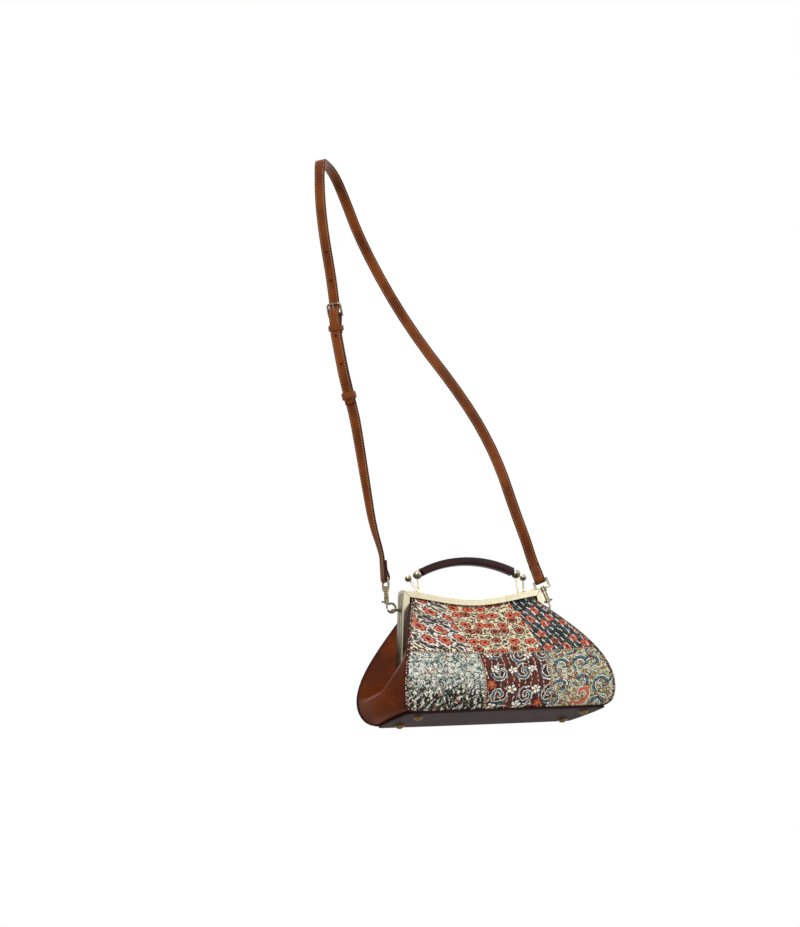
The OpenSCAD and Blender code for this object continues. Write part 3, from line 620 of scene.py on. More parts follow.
    def trailing_flowers(self, g: Graph, place: Sock) -> Sock:
        """Cream cloth with long red flowers lying down a slope among dark strokes."""
        x, y, turn, _ = self.cell(g, place, 2.6, 0.65)
        along, across = self.tilt(x, y, -0.7, 1.4)
        petals, distance = self.flower(along, across, turn, 0.86, 9, 0.11)
        fine = self.strokes(g, place, 0.54, 0.42, 0.15, -0.7, 1.7)
        long = self.strokes(g, place, 0.95, 0.80, 0.17, -0.7, 0.9)
        veins = (across.angle(along) * 13.0).cos().rise(0.1, 0.8) * distance.rise(0.3, 0.5)
        bloom = g.layers(
            self.red,
            (veins * 0.8, self.brick),
            (self.band(distance, 0.58, 0.09) * 0.7, self.peach),
            (distance.rise(0.8, 0.88), self.indigo),
            (distance.fall(0.2, 0.3), self.indigo),
        )
        return g.layers(
            self.cream,
            (g.noise(place, 0.55).rise(0.47, 0.6) * 0.85, self.lavender),
            (fine.most(long) * 0.95, self.indigo),
            (distance.fall(1.18, 1.26), self.bleached),
            (petals, bloom),
        )

    def rosettes(self, g: Graph, place: Sock) -> Sock:
        """Warm cream cloth crowded with small brick rosettes ringed in dark, between dark curls."""
        x, y, turn, kind = self.cell(g, place, 1.85, 0.55)
        along, across = self.tilt(x, y, 0.4, 1.3)
        petals, distance = self.flower(along, across, turn, 0.68, 8, 0.08)
        bloom = g.layers(
            self.red,
            (kind.rise(0.5, 0.55), self.brick),
            (distance.fall(0.28, 0.36), self.oxblood),
            (self.band(distance, 0.55, 0.08) * 0.7, self.apricot),
            (distance.rise(0.8, 0.87), self.garnet),
        )
        return g.layers(
            self.straw,
            (g.noise(place, 0.9).rise(0.5, 0.65) * 0.6, self.fawn),
            (self.strokes(g, place, 0.46, 0.32, 0.13) * 0.95, self.soot),
            (distance.fall(1.12, 1.2), self.parchment),
            (petals, bloom),
        )

    def medallions(self, g: Graph, place: Sock) -> Sock:
        """Mottled slate cloth with staggered red medallions and slanting rows of pale stitches."""
        px, py, _ = g.split(place)
        turned = g.join((px + py) * math.sqrt(0.5), (py - px) * math.sqrt(0.5))
        x, y, _, kind = self.cell(g, turned, 1.95, 0.25)
        square = (y.angle(x) * 4.0).cos() * -0.09 + 0.91
        distance = x.distance(y) / (square * 0.70)
        slant = px + py * 0.3
        bloom = g.layers(
            self.red,
            ((y.angle(x) * 12.0).cos().rise(0.0, 0.8) * 0.7, self.brick),
            (self.strokes(g, place, 0.30, 0.13, 0.07) * 0.6, self.salmon),
            (distance.fall(0.24, 0.34), self.wine),
        )
        return g.layers(
            self.teal,
            (g.noise(place, 1.1, 4.0).rise(0.45, 0.6), self.bottle),
            (g.noise(place, 1.7, 4.0).rise(0.47, 0.6) * 0.9, self.pewter),
            (self.strokes(g, place, 0.36, 0.22, 0.10) * 0.9, self.jet),
            (distance.fall(1.12, 1.2), self.charcoal),
            (distance.fall(0.96, 1.04) * kind.rise(0.06, 0.1), bloom),
            (self.running_stitch(slant, py, 0.95, 1.05, 0.13) * 0.8, self.shadow),
            (self.running_stitch(slant, py, 0.95, 1.05, 0.075), self.bleached),
        )

    def meadow(self, g: Graph, place: Sock) -> Sock:
        """Pale grey green cloth flecked with dark and white, over olive growth and branches."""
        _, up, _ = g.split(place)
        low = (up + g.noise(place, 0.5) * 3.0).fall(3.6, 7.0)
        x, y, turn, kind = self.cell(g, place, 0.86, 0.9)
        petals, distance = self.flower(x, y, turn, 0.30, 5)
        branches = self.strokes(g, place, 0.66, 0.60, 0.17, 1.25, 1.5)
        bloom = g.layers(
            self.bleached,
            (kind.rise(0.6, 0.65), self.duck),
            (kind.rise(0.88, 0.9), self.coral),
            (distance.fall(0.3, 0.42), self.bark),
        )
        return g.layers(
            self.mint,
            (g.noise(place, 0.9, 4.0).rise(0.46, 0.58) * 0.85, self.lichen),
            (low * g.noise(place, 1.2, 3.0).rise(0.36, 0.52), self.olive),
            (self.strokes(g, place, 0.36, 0.23, 0.10) * 0.92, self.pitch),
            (petals, bloom),
            (self.strokes(g, place, 0.42, 0.19, 0.085) * 0.7, self.bleached),
            (branches * (low * 0.82 + 0.15), self.bark),
        )

    def stitched_scrolls(self, g: Graph, place: Sock) -> Sock:
        """Maroon and plum cloth with wavering upright stitches, blue scrolls and white flowers."""
        px, py, _ = g.split(place)
        wave = px + (py * 2.3).sin() * 0.07
        sx, sy, stray, _ = self.cell(g, g.join(px + 1.75, py + 1.2), 3.3, 0.3)
        along, across = self.tilt(sx, sy, 1.0, 1.15)
        off, inside = self.scroll(along, across, 1.3, 1.3, stray)
        fill = g.mix((sy * 10.0).sin().rise(0.1, 0.6), self.slate, self.navy)
        x, y, turn, kind = self.cell(g, place, 2.9, 0.4)
        petals, distance = self.flower(x, y, turn, 0.66, 5)
        notches = (y.angle(x) * 5.0 + turn * math.tau).cos().fall(-0.7, -0.3)
        bloom = g.layers(
            self.bleached,
            (kind.rise(0.7, 0.72), self.red),
            (notches, self.clay),
            (distance.fall(0.24, 0.36), self.ochre),
        )
        return g.layers(
            self.maroon,
            (g.noise(place, 0.7, 3.0).rise(0.46, 0.6), self.plum),
            (g.noise(place, 2.2, 3.0).rise(0.5, 0.7) * 0.6, self.rust),
            (self.running_stitch(wave, py, 0.87, 0.72, 0.07), self.oat),
            (off.fall(0.25, 0.28) * inside, self.bleached),
            (off.fall(0.16, 0.20) * inside, fill),
            (distance.fall(1.22, 1.32), self.sloe),
            (petals, bloom),
        )

    def paisleys(self, g: Graph, place: Sock) -> Sock:
        """Beige and sage cloth with large slate paisleys edged in dark and white, and buds."""
        x, y, _, kind = self.cell(g, place, 2.9, 0.75)
        along, across = self.tilt(x, y, 0.8, 1.2)
        off, inside = self.scroll(along, across, 1.45, 1.0, kind)
        fill = g.layers(
            self.slate,
            ((y * 9.0 + x * 5.0).sin().rise(0.1, 0.6), self.steel),
            (kind.rise(0.72, 0.74), self.coral),
        )
        bx, by, turn, bud_kind = self.cell(g, place, 1.25, 1.0)
        buds, distance = self.flower(bx, by, turn, 0.22, 5)
        return g.layers(
            self.beige,
            (g.noise(place, 0.7, 3.0).rise(0.45, 0.58), self.sage),
            (self.strokes(g, place, 0.50, 0.28, 0.10) * 0.85, self.umber),
            (off.fall(0.32, 0.35) * inside, self.ink),
            (off.fall(0.26, 0.29) * inside, self.bleached),
            (off.fall(0.18, 0.22) * inside, fill),
            (distance.fall(1.4, 1.6), self.peat),
            (buds, g.mix(bud_kind.rise(0.45, 0.5), self.ochre, self.coral)),
        )

    def beads(self, g: Graph, across: Sock, along: Sock, cloth: Sock) -> Sock:
        """Lay a beaded border on a seam: a dark band with round pale beads on it."""
        off = ((along / self.bead_pitch).fraction() - 0.5) / self.bead_half[1]
        wide = across / self.bead_half[0]
        bead = (wide * wide + off * off).fall(0.8, 1.2)
        dark = across.abs().fall(0.13, 0.18) * 0.8
        return g.layers(cloth, (dark, self.cocoa), (bead, self.bone))

    def border(self, g: Graph, along: Sock, cloth: Sock) -> Sock:
        """Edge the panel's sides, by the distance in from the edge that the piece carries."""
        carried = g.node("ShaderNodeAttribute", {"attribute_name": "inward"}, out="Fac")
        inward = carried * self.per_metre
        x, y, kind, _ = self.cell(g, g.join(inward, along), 0.27, 0.6)
        tone = g.mix(kind.rise(0.5, 0.55), self.oat, self.brick)
        dotted = g.mix(x.distance(y).fall(0.09, 0.12), self.indigo, tone)
        return g.mix(inward.fall(0.36, 0.42), cloth, dotted)

    @staticmethod
    def past(value: Sock, seam: float, edge: float) -> Sock:
        """Mask of what lies past a seam."""
        return value.rise(seam - edge, seam + edge)

    def material(self) -> Material:
        """Make the material: pick a cloth by its patch, edge the patches, then craze and gloss."""
        g = Graph(self.name)
        settings = {"operation": "SCALE"}
        flat = g.node("ShaderNodeVectorMath", settings, {0: g.uv(), "Scale": self.per_metre})
        x, y, _ = g.split(flat)
        frayed = x + (g.noise(flat, 0.8) - 0.5) * 2.6
        waver = g.noise(flat, 1.3, 3.0, "Color")
        drawn = g.vector("MULTIPLY_ADD", waver, self.hand, flat)
        low = g.layers(
            self.meadow(g, drawn),
            (self.past(x, self.low_left_seam, self.edge), self.stitched_scrolls(g, drawn)),
            (self.past(x, self.low_right_seam, self.edge), self.paisleys(g, drawn)),
        )
        low = self.beads(g, x - self.low_left_seam, y, low)
        low = self.beads(g, x - self.low_right_seam, y, low)
        top = g.layers(
            self.trailing_flowers(g, drawn),
            (self.past(frayed, self.top_left_seam, self.soft_edge), self.rosettes(g, drawn)),
            (self.past(x, self.top_right_seam, self.edge), self.medallions(g, drawn)),
        )
        whole = g.mix(self.past(y, self.row_seam, self.edge), low, top)
        whole = self.border(g, y, self.beads(g, y - self.row_seam, x, whole))
        craze = g.noise(flat, 7.0, 5.0)
        whole = g.layers(
            whole,
            (craze.rise(0.56, 0.74) * 0.2, self.bleached),
            (craze.fall(0.3, 0.46) * 0.55, self.grime),
        )
        g.feed("Base Color", whole)
        g.feed("Roughness", craze.rise(0.3, 0.7) * 0.16 + 0.36)
        g.feed("Specular IOR Level", 0.1)
        g.bump(craze + g.grain(flat, 16.0) * 0.5, 0.45, 0.0002)
        return g.material


@dataclass(frozen=True)
class FrameMetal:
    """Brushed pale gold of the frame halves, with painted shade on the outer sides, down the lower
    legs, in the grooves and in the joint, and dark lines at the mitres.
    """

    middle_x: float
    joint_y: float
    corner_x: float
    corner_z: float
    slope: float = 1.24
    line: float = 0.00028
    reach: float = 0.014
    flare: float = 0.1346
    groove_off: float = 0.0064
    groove_line: Span = (0.0004, 0.0008)
    joint_line: Span = (0.0009, 0.0015)
    side_edge: Span = (0.0004, 0.0010)
    side_top: Span = (0.002, 0.006)
    darkening: Span = (0.03, 0.085)
    brush: Point = (1500.0, 150.0, 150.0)
    patches: float = 45.0
    roughness: float = 0.26
    depth: float = 0.00006
    bright: Colour = (0.86, 0.83, 0.72)
    dull: Colour = (0.58, 0.52, 0.39)
    low_shade: Colour = (0.40, 0.36, 0.26)
    side_shade: Colour = (0.34, 0.30, 0.26)
    dark: Colour = (0.14, 0.11, 0.07)

    def material(self) -> Material:
        """Make the material: brushing across the rail, the mitre as a distance from its line."""
        g = Graph("frame_metal")
        place = g.place()
        x, y, z = g.split(place)
        out = self.corner_x - (x - self.middle_x).abs()
        down = self.corner_z - z
        off = (down - out * self.slope).abs() / math.hypot(1.0, self.slope)
        near = (out + down).fall(self.reach * 1.4, self.reach * 1.6)
        mitre = off.fall(self.line * 0.6, self.line * 1.4) * near
        # painted shade: mask of the outer sides, which are darkened to stand in for the dark
        # surround that they reflect
        side = (out + down * self.flare).fall(*self.side_edge) * down.rise(*self.side_top)
        # painted shadow: dark lines in the gap between the halves and in the grooves along their
        # outer sides
        across = (y - self.joint_y).abs()
        groove = (across - self.groove_off).abs().fall(*self.groove_line) * side
        joint = across.fall(*self.joint_line).most(groove)
        lines = g.noise(g.vector("MULTIPLY", place, self.brush), 1.0)
        worn = g.noise(place, self.patches, 4.0).rise(0.45, 0.8)
        tone = g.layers(
            self.bright,
            (lines.rise(0.35, 0.7) * 0.36 + worn * 0.2, self.dull),
            # painted shade: the legs grow darker towards their lower ends, standing in for the dark
            # leather that they reflect there
            (down.rise(*self.darkening) * 0.7, self.low_shade),
            # painted shade on the outer sides
            (side * 0.65, self.side_shade),
            (mitre.most(joint * 0.85), self.dark),
        )
        g.feed("Metallic", 1.0)
        g.feed("Base Color", tone)
        g.feed("Roughness", lines.rise(0.25, 0.8) * 0.14 + self.roughness)
        g.bump(lines, 0.25, self.depth)
        return g.material


@dataclass(frozen=True)
class BallMetal:
    """Antique brass of the posts and balls, with painted shade on the underside of each ball and
    tarnish in patches.
    """

    name: str
    ball_z: float
    reach: float
    patches: float = 110.0
    fine: float = 900.0
    roughness: float = 0.14
    bright: Colour = (0.86, 0.82, 0.70)
    darkening: Colour = (0.17, 0.14, 0.09)

    def material(self) -> Material:
        """Make the material: height against the balls' middles sets how much painted shade shows,
        noise sets the tarnish patches.
        """
        g = Graph(self.name)
        place = g.place()
        _, _, z = g.split(place)
        up = (z - self.ball_z) / self.reach
        # painted shade under each ball's middle; it and the tarnish patches share the darker colour
        under = up.fall(-0.6, 0.7) * up.rise(-1.5, -1.1)
        worn = g.noise(place, self.patches, 4.0).rise(0.45, 0.75)
        g.feed("Metallic", 1.0)
        g.feed("Base Color", g.mix(under * 0.8 + worn * 0.2, self.bright, self.darkening))
        g.feed("Roughness", g.noise(place, self.fine) * 0.1 + self.roughness)
        return g.material


@dataclass(frozen=True)
class StrapLeather:
    """Strap leather with dark painted edges and holes painted as discs of shade, read from the
    strap's flat map.
    """

    name: str
    width: float
    stitch_in: float
    holes: tuple[float, ...] = ()
    hole_r: float = 0.0018
    rim: Span = (0.0009, 0.0002)
    groove: Span = (0.0003, 0.0009)
    pores: float = 950.0
    fine: float = 420.0
    clouds: float = 30.0
    roughness: float = 0.36
    shine: float = 0.12
    depth: float = 0.00014
    dark: Colour = (0.33, 0.14, 0.035)
    light: Colour = (0.52, 0.26, 0.085)
    rim_tone: Colour = (0.13, 0.07, 0.05)
    groove_tone: Colour = (0.20, 0.09, 0.04)
    hole_shade: Colour = (0.035, 0.02, 0.015)

    def material(self) -> Material:
        """Make the material: metres along and across place the edges, the groove and the holes."""
        g = Graph(self.name)
        place = g.place()
        along, across, _ = g.split(g.uv())
        half = self.width / 2
        fine = g.noise(place, self.fine, 4.0)
        clouds = g.noise(place, self.clouds, 4.0).rise(0.3, 0.72)
        rim = across.abs().rise(half - self.rim[0], half - self.rim[1])
        groove = (across.abs() - (half - self.stitch_in)).abs().fall(*self.groove)
        tone = g.layers(
            self.dark,
            (clouds * 0.7 + fine.rise(0.3, 0.7) * 0.3, self.light),
            (rim * 0.85, self.rim_tone),
            (groove * 0.45, self.groove_tone),
        )
        # painted shade: each hole is a dark disc on the surface, standing in for the shade inside a
        # real hole
        for hole in self.holes:
            inside = (along - hole).distance(across).fall(self.hole_r * 0.85, self.hole_r * 1.1)
            tone = g.mix(inside, tone, self.hole_shade)
        g.feed("Base Color", tone)
        g.feed("Roughness", fine.rise(0.2, 0.8) * 0.18 + self.roughness)
        g.feed("Specular IOR Level", self.shine)
        g.bump(g.grain(place, self.pores) * 0.6 + fine * 0.5 - groove * 1.5, 0.5, self.depth)
        return g.material


def lerp(a: object, b: object, t: object) -> object:
    """Value between a and b at share t."""
    return a + (b - a) * t


def ease(t: Array) -> Array:
    """Smooth step from 0 to 1."""
    t = np.clip(t, 0.0, 1.0)
    return t * t * (3.0 - 2.0 * t)


def unit(v: Array) -> Array:
    """Vectors of length 1 along the last axis."""
    return v / np.linalg.norm(v, axis=-1, keepdims=True)


def around(count: int) -> Array:
    """Even angles round a circle."""
    return np.linspace(0.0, math.tau, count, endpoint=False)


def blunt_ring(count: int, across: float, up: float) -> tuple[Array, Array]:
    """Points round a blunted square: cosine and sine, each to a power with its sign kept."""
    c, n = np.cos(around(count)), np.sin(around(count))
    return np.sign(c) * np.abs(c) ** across, np.sign(n) * np.abs(n) ** up


def run_along(points: Array) -> Array:
    """Distance along a path at each of its points."""
    steps = np.linalg.norm(np.diff(points[:, :3], axis=0), axis=1)
    return np.concatenate([[0.0], np.cumsum(steps)])


def evened(path: Array, count: int, rounds: int = 0) -> Array:
    """Space a path evenly, after softening its corners by averaging neighbours.

    Args:
        path: points along it.
        count: number of points to give back.
        rounds: how many times neighbours are averaged.

    Returns:
        The evened path.
    """
    def spaced(points: Array) -> Array:
        """The same line with even steps."""
        run = run_along(points)
        at = np.linspace(0.0, run[-1], count)
        return np.stack([np.interp(at, run, column) for column in points.T], axis=1)

    path = spaced(path)
    for _ in range(rounds):
        path[1:-1] = (path[:-2] + 2 * path[1:-1] + path[2:]) / 4
    return spaced(path)


@dataclass(frozen=True)
class Shape:
    """Outline of the bag by share of height, in metres from the middle of its underside."""

    base_w: float = 0.282
    base_d: float = 0.108
    base_t: float = 0.003
    base_corner_r: float = 0.012
    foot_r: float = 0.007
    panel_t: float = 0.002
    gusset_t: float = 0.0016
    front_belly: float = 0.037
    front_belly_power: float = 0.75
    back_belly: float = 0.0155
    back_belly_power: float = 1.1
    front_swell: float = 0.019
    front_swell_power: float = 0.7
    back_swell: float = 0.033
    back_swell_power: float = 0.6
    back_swell_top: float = 0.88
    panel_crown: float = 0.004
    frame_w: float = 0.201
    frame_h: float = 0.174
    frame_y: float = 0.024
    mouth_inset: float = 0.0125
    rail_dip: float = 0.013
    rail_dip_power: float = 1.5
    rail_face: float = 0.0095
    rail_depth: float = 0.0105
    leg_flare: float = 0.014
    leg_end_h: float = 0.070
    leg_clear: float = 0.001
    groove_y: float = 0.007
    groove_entry: float = 0.002
    groove_hold: float = 0.004
    soft_gap: float = 0.0003
    panel_arc: float = 0.1876

    @property
    def mouth_w(self) -> float:
        """Width of the panels where they enter the frame."""
        return self.frame_w - 2 * self.mouth_inset

    @property
    def seam_t(self) -> float:
        """Depth of a seam between a panel and a gusset."""
        return self.panel_t + self.soft_gap + self.gusset_t

    @staticmethod
    def hump(w: Array, power: float) -> Array:
        """Half a sine wave over the share of height, with its crest moved by a power."""
        return np.sin(math.pi * np.power(np.clip(w, 0.0, 1.0), power))

    def rail_z(self, x: Array) -> Array:
        """Height of the top rail: level at its corners, dipping to the middle as a sine's power."""
        wave = np.sin(math.pi * np.clip(x / self.frame_w + 0.5, 0.0, 1.0))
        return self.frame_h - self.rail_dip * np.power(np.clip(wave, 0.0, 1.0), self.rail_dip_power)

    def top_z(self, x: Array) -> Array:
        """Height at which the leather meets the rail."""
        return self.rail_z(x) - self.rail_face - self.groove_entry

    def leg_in(self, z: Array) -> Array:
        """Half the gap between the legs."""
        down = self.frame_h - np.clip(z, self.leg_end_h, self.frame_h)
        flare = self.leg_flare * down / (self.frame_h - self.leg_end_h)
        return self.frame_w / 2 + flare - self.rail_face

    def height(self, w: Array, x: Array) -> Array:
        """Height at a share of the way from the base to the rail."""
        return lerp(self.base_t + self.soft_gap, self.top_z(x), w)

    def front_y(self, w: Array) -> Array:
        """Depth of the front leather."""
        straight = lerp(-self.base_d / 2, self.frame_y - self.groove_y, w)
        return straight - self.front_belly * self.hump(w, self.front_belly_power)

    def back_y(self, w: Array) -> Array:
        """Depth of the back leather."""
        straight = lerp(self.base_d / 2, self.frame_y + self.groove_y, w)
        return straight + self.back_belly * self.hump(w, self.back_belly_power)

    def foot_round(self, w: Array) -> Array:
        """How far the panels' lower corners are rounded in: a quarter circle at the foot."""
        r = self.foot_r
        rise = np.clip(w * (self.frame_h - self.rail_face) / r, 0.0, 1.0)
        return r * (1.0 - np.sqrt(np.clip(1.0 - (1.0 - rise) ** 2, 0.0, 1.0)))

    def front_half(self, w: Array) -> Array:
        """Half the width of the front leather."""
        straight = lerp(self.base_w, self.mouth_w, w) / 2
        swell = self.front_swell * self.hump(w, self.front_swell_power)
        return straight + swell - self.foot_round(w)

    def back_half(self, w: Array) -> Array:
        """Half the width of the back leather, which stays between the legs near the rail."""
        straight = lerp(self.base_w, self.mouth_w, w) / 2
        swell = self.back_swell * self.hump(w / self.back_swell_top, self.back_swell_power)
        free = straight + swell - self.foot_round(w)
        near = self.back_y(w) <= self.frame_y + self.rail_depth + self.leg_clear + self.seam_t
        between = self.leg_in(self.height(w, self.mouth_w / 2)) - self.leg_clear
        return np.where(near, np.minimum(free, between), free)

    def panel_point(self, u: Array, w: Array, panel: Panel, inset: float = 0.0) -> Array:
        """Points of the front or back leather.

        Args:
            u: share across, from -1 to 1.
            w: share up, from 0 to 1.
            panel: which panel.
            inset: distance into the bag.

        Returns:
            Points with a last axis of three.
        """
        crown = self.panel_crown * (1.0 - u * u) * np.sin(math.pi * w)
        if panel is Panel.FRONT:
            x, y = u * self.front_half(w), self.front_y(w) - crown + inset
        else:
            x, y = u * self.back_half(w), self.back_y(w) + crown - inset
        return np.stack(np.broadcast_arrays(x, y, self.height(w, u * self.mouth_w / 2)), axis=-1)


class Maker:
    """Puts computed surfaces into the scene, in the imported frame's place."""

    def __init__(self, shape: Shape) -> None:
        """Find the middle of the bag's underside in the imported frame."""
        low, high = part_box("base_panel")
        self.origin = np.array([(low.x + high.x) / 2, (low.y + high.y) / 2, low.z])
        self.shape = shape

    def mesh(self, name: str, points: Array, faces: Array, flat: Array | None = None) -> Object:
        """Make an object of quads and triangles.

        Args:
            name: name of the piece.
            points: its points, in metres from the middle of the bag's underside.
            faces: four point numbers to a face, outward, with one of them twice in a triangle.
            flat: flat coordinates of the points, if it has any.

        Returns:
            The new object, at the origin.
        """
        used, faces = np.unique(faces.ravel(), return_inverse=True)
        faces = faces.reshape(-1, 4)
        corner = faces != np.roll(faces, -1, axis=1)
        loops, sizes = faces[corner], corner.sum(axis=1)
        places = points.reshape(-1, 3)[used] + self.origin
        data = bpy.data.meshes.new(name)
        data.vertices.add(len(used))
        data.vertices.foreach_set("co", places.astype(np.float32).ravel())
        data.loops.add(len(loops))
        data.loops.foreach_set("vertex_index", loops.astype(np.int32))
        data.polygons.add(len(faces))
        data.polygons.foreach_set("loop_start", (np.cumsum(sizes) - sizes).astype(np.int32))
        data.update(calc_edges=True)
        if flat is not None:
            layer = data.uv_layers.new(name="flat")
            spread = flat.reshape(-1, 2)[used][loops]
            layer.data.foreach_set("uv", spread.astype(np.float32).ravel())
        data.validate()
        data.polygons.foreach_set("use_smooth", np.ones(len(data.polygons), bool))
        made = bpy.data.objects.new(name, data)
        bpy.context.scene.collection.objects.link(made)
        return made

    @staticmethod
    def quads(
        rows: int,
        cols: int,
        round_rows: bool = False,
        round_cols: bool = False,
        poles: bool = False,
    ) -> Array:
        """Faces of a grid of columns across and rows up.

        Args:
            rows: number of rows.
            cols: number of columns.
            round_rows: whether the last row joins the first.
            round_cols: whether the last column joins the first.
            poles: whether each end row is one point.

        Returns:
            Four point numbers to a face.
        """
        r = np.arange(rows if round_rows else rows - 1)[:, None]
        c = np.arange(cols if round_cols else cols - 1)[None, :]
        r2, c2 = (r + 1) % rows, (c + 1) % cols
        corners = [r * cols + c, r * cols + c2, r2 * cols + c2, r2 * cols + c]
        faces = np.stack(np.broadcast_arrays(*corners), axis=-1).reshape(-1, 4)
        return np.where(faces < cols, 0, np.minimum(faces, (rows - 1) * cols)) if poles else faces

    @staticmethod
    def across(cols: int) -> Array:
        """Faces that fill a flat ring, each between a stretch of one half and its mirror."""
        i = np.arange(cols // 2)
        return np.stack([i, (cols - i) % cols, cols - i - 1, i + 1], axis=-1)

    @staticmethod
    def thicken(made: Object, thick: float) -> None:
        """Give a sheet its thickness behind the side that it shows."""
        solid = made.modifiers.new("thickness", "SOLIDIFY")
        solid.thickness = thick
        solid.offset = -1.0

    @staticmethod
    def finish(piece: Object, material: Material, slot: str, *nodes: str) -> Object:
        """Give a piece its finish.

        Args:
            piece: the piece.
            material: its finish.
            slot: not used.
            nodes: solids that it stands for.

        Returns:
            The piece.
        """
        piece.data.materials.append(material)
        if nodes:
            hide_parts(*nodes)
        return piece

    def sheet(self, name: str, grid: Array, thick: float, flat: Array | None = None) -> Object:
        """Make a leather sheet from a grid seen from outside, thickened into the bag."""
        made = self.mesh(name, grid, self.quads(*grid.shape[:2]), flat)
        self.thicken(made, thick)
        return made

    def tube(self, name: str, path: Array, radius: float, sides: int = 10) -> Object:
        """Sweep a circle along an open path and close its ends to points."""
        along = unit(np.gradient(path, axis=0))
        steep = np.abs(along[:, 2:3]) > 0.9
        first = unit(np.cross(along, np.where(steep, np.array([[0.0, 1.0, 0.0]]), UP)))
        second = np.cross(along, first)
        c, n = np.cos(around(sides))[:, None], np.sin(around(sides))[:, None]
        grid = path[:, None] + (first[:, None] * c + second[:, None] * n) * radius
        ends = np.repeat(path[[0, -1], None], sides, axis=1)
        grid = np.concatenate([ends[:1], grid, ends[1:]])
        return self.mesh(name, grid, self.quads(len(grid), sides, round_cols=True, poles=True))


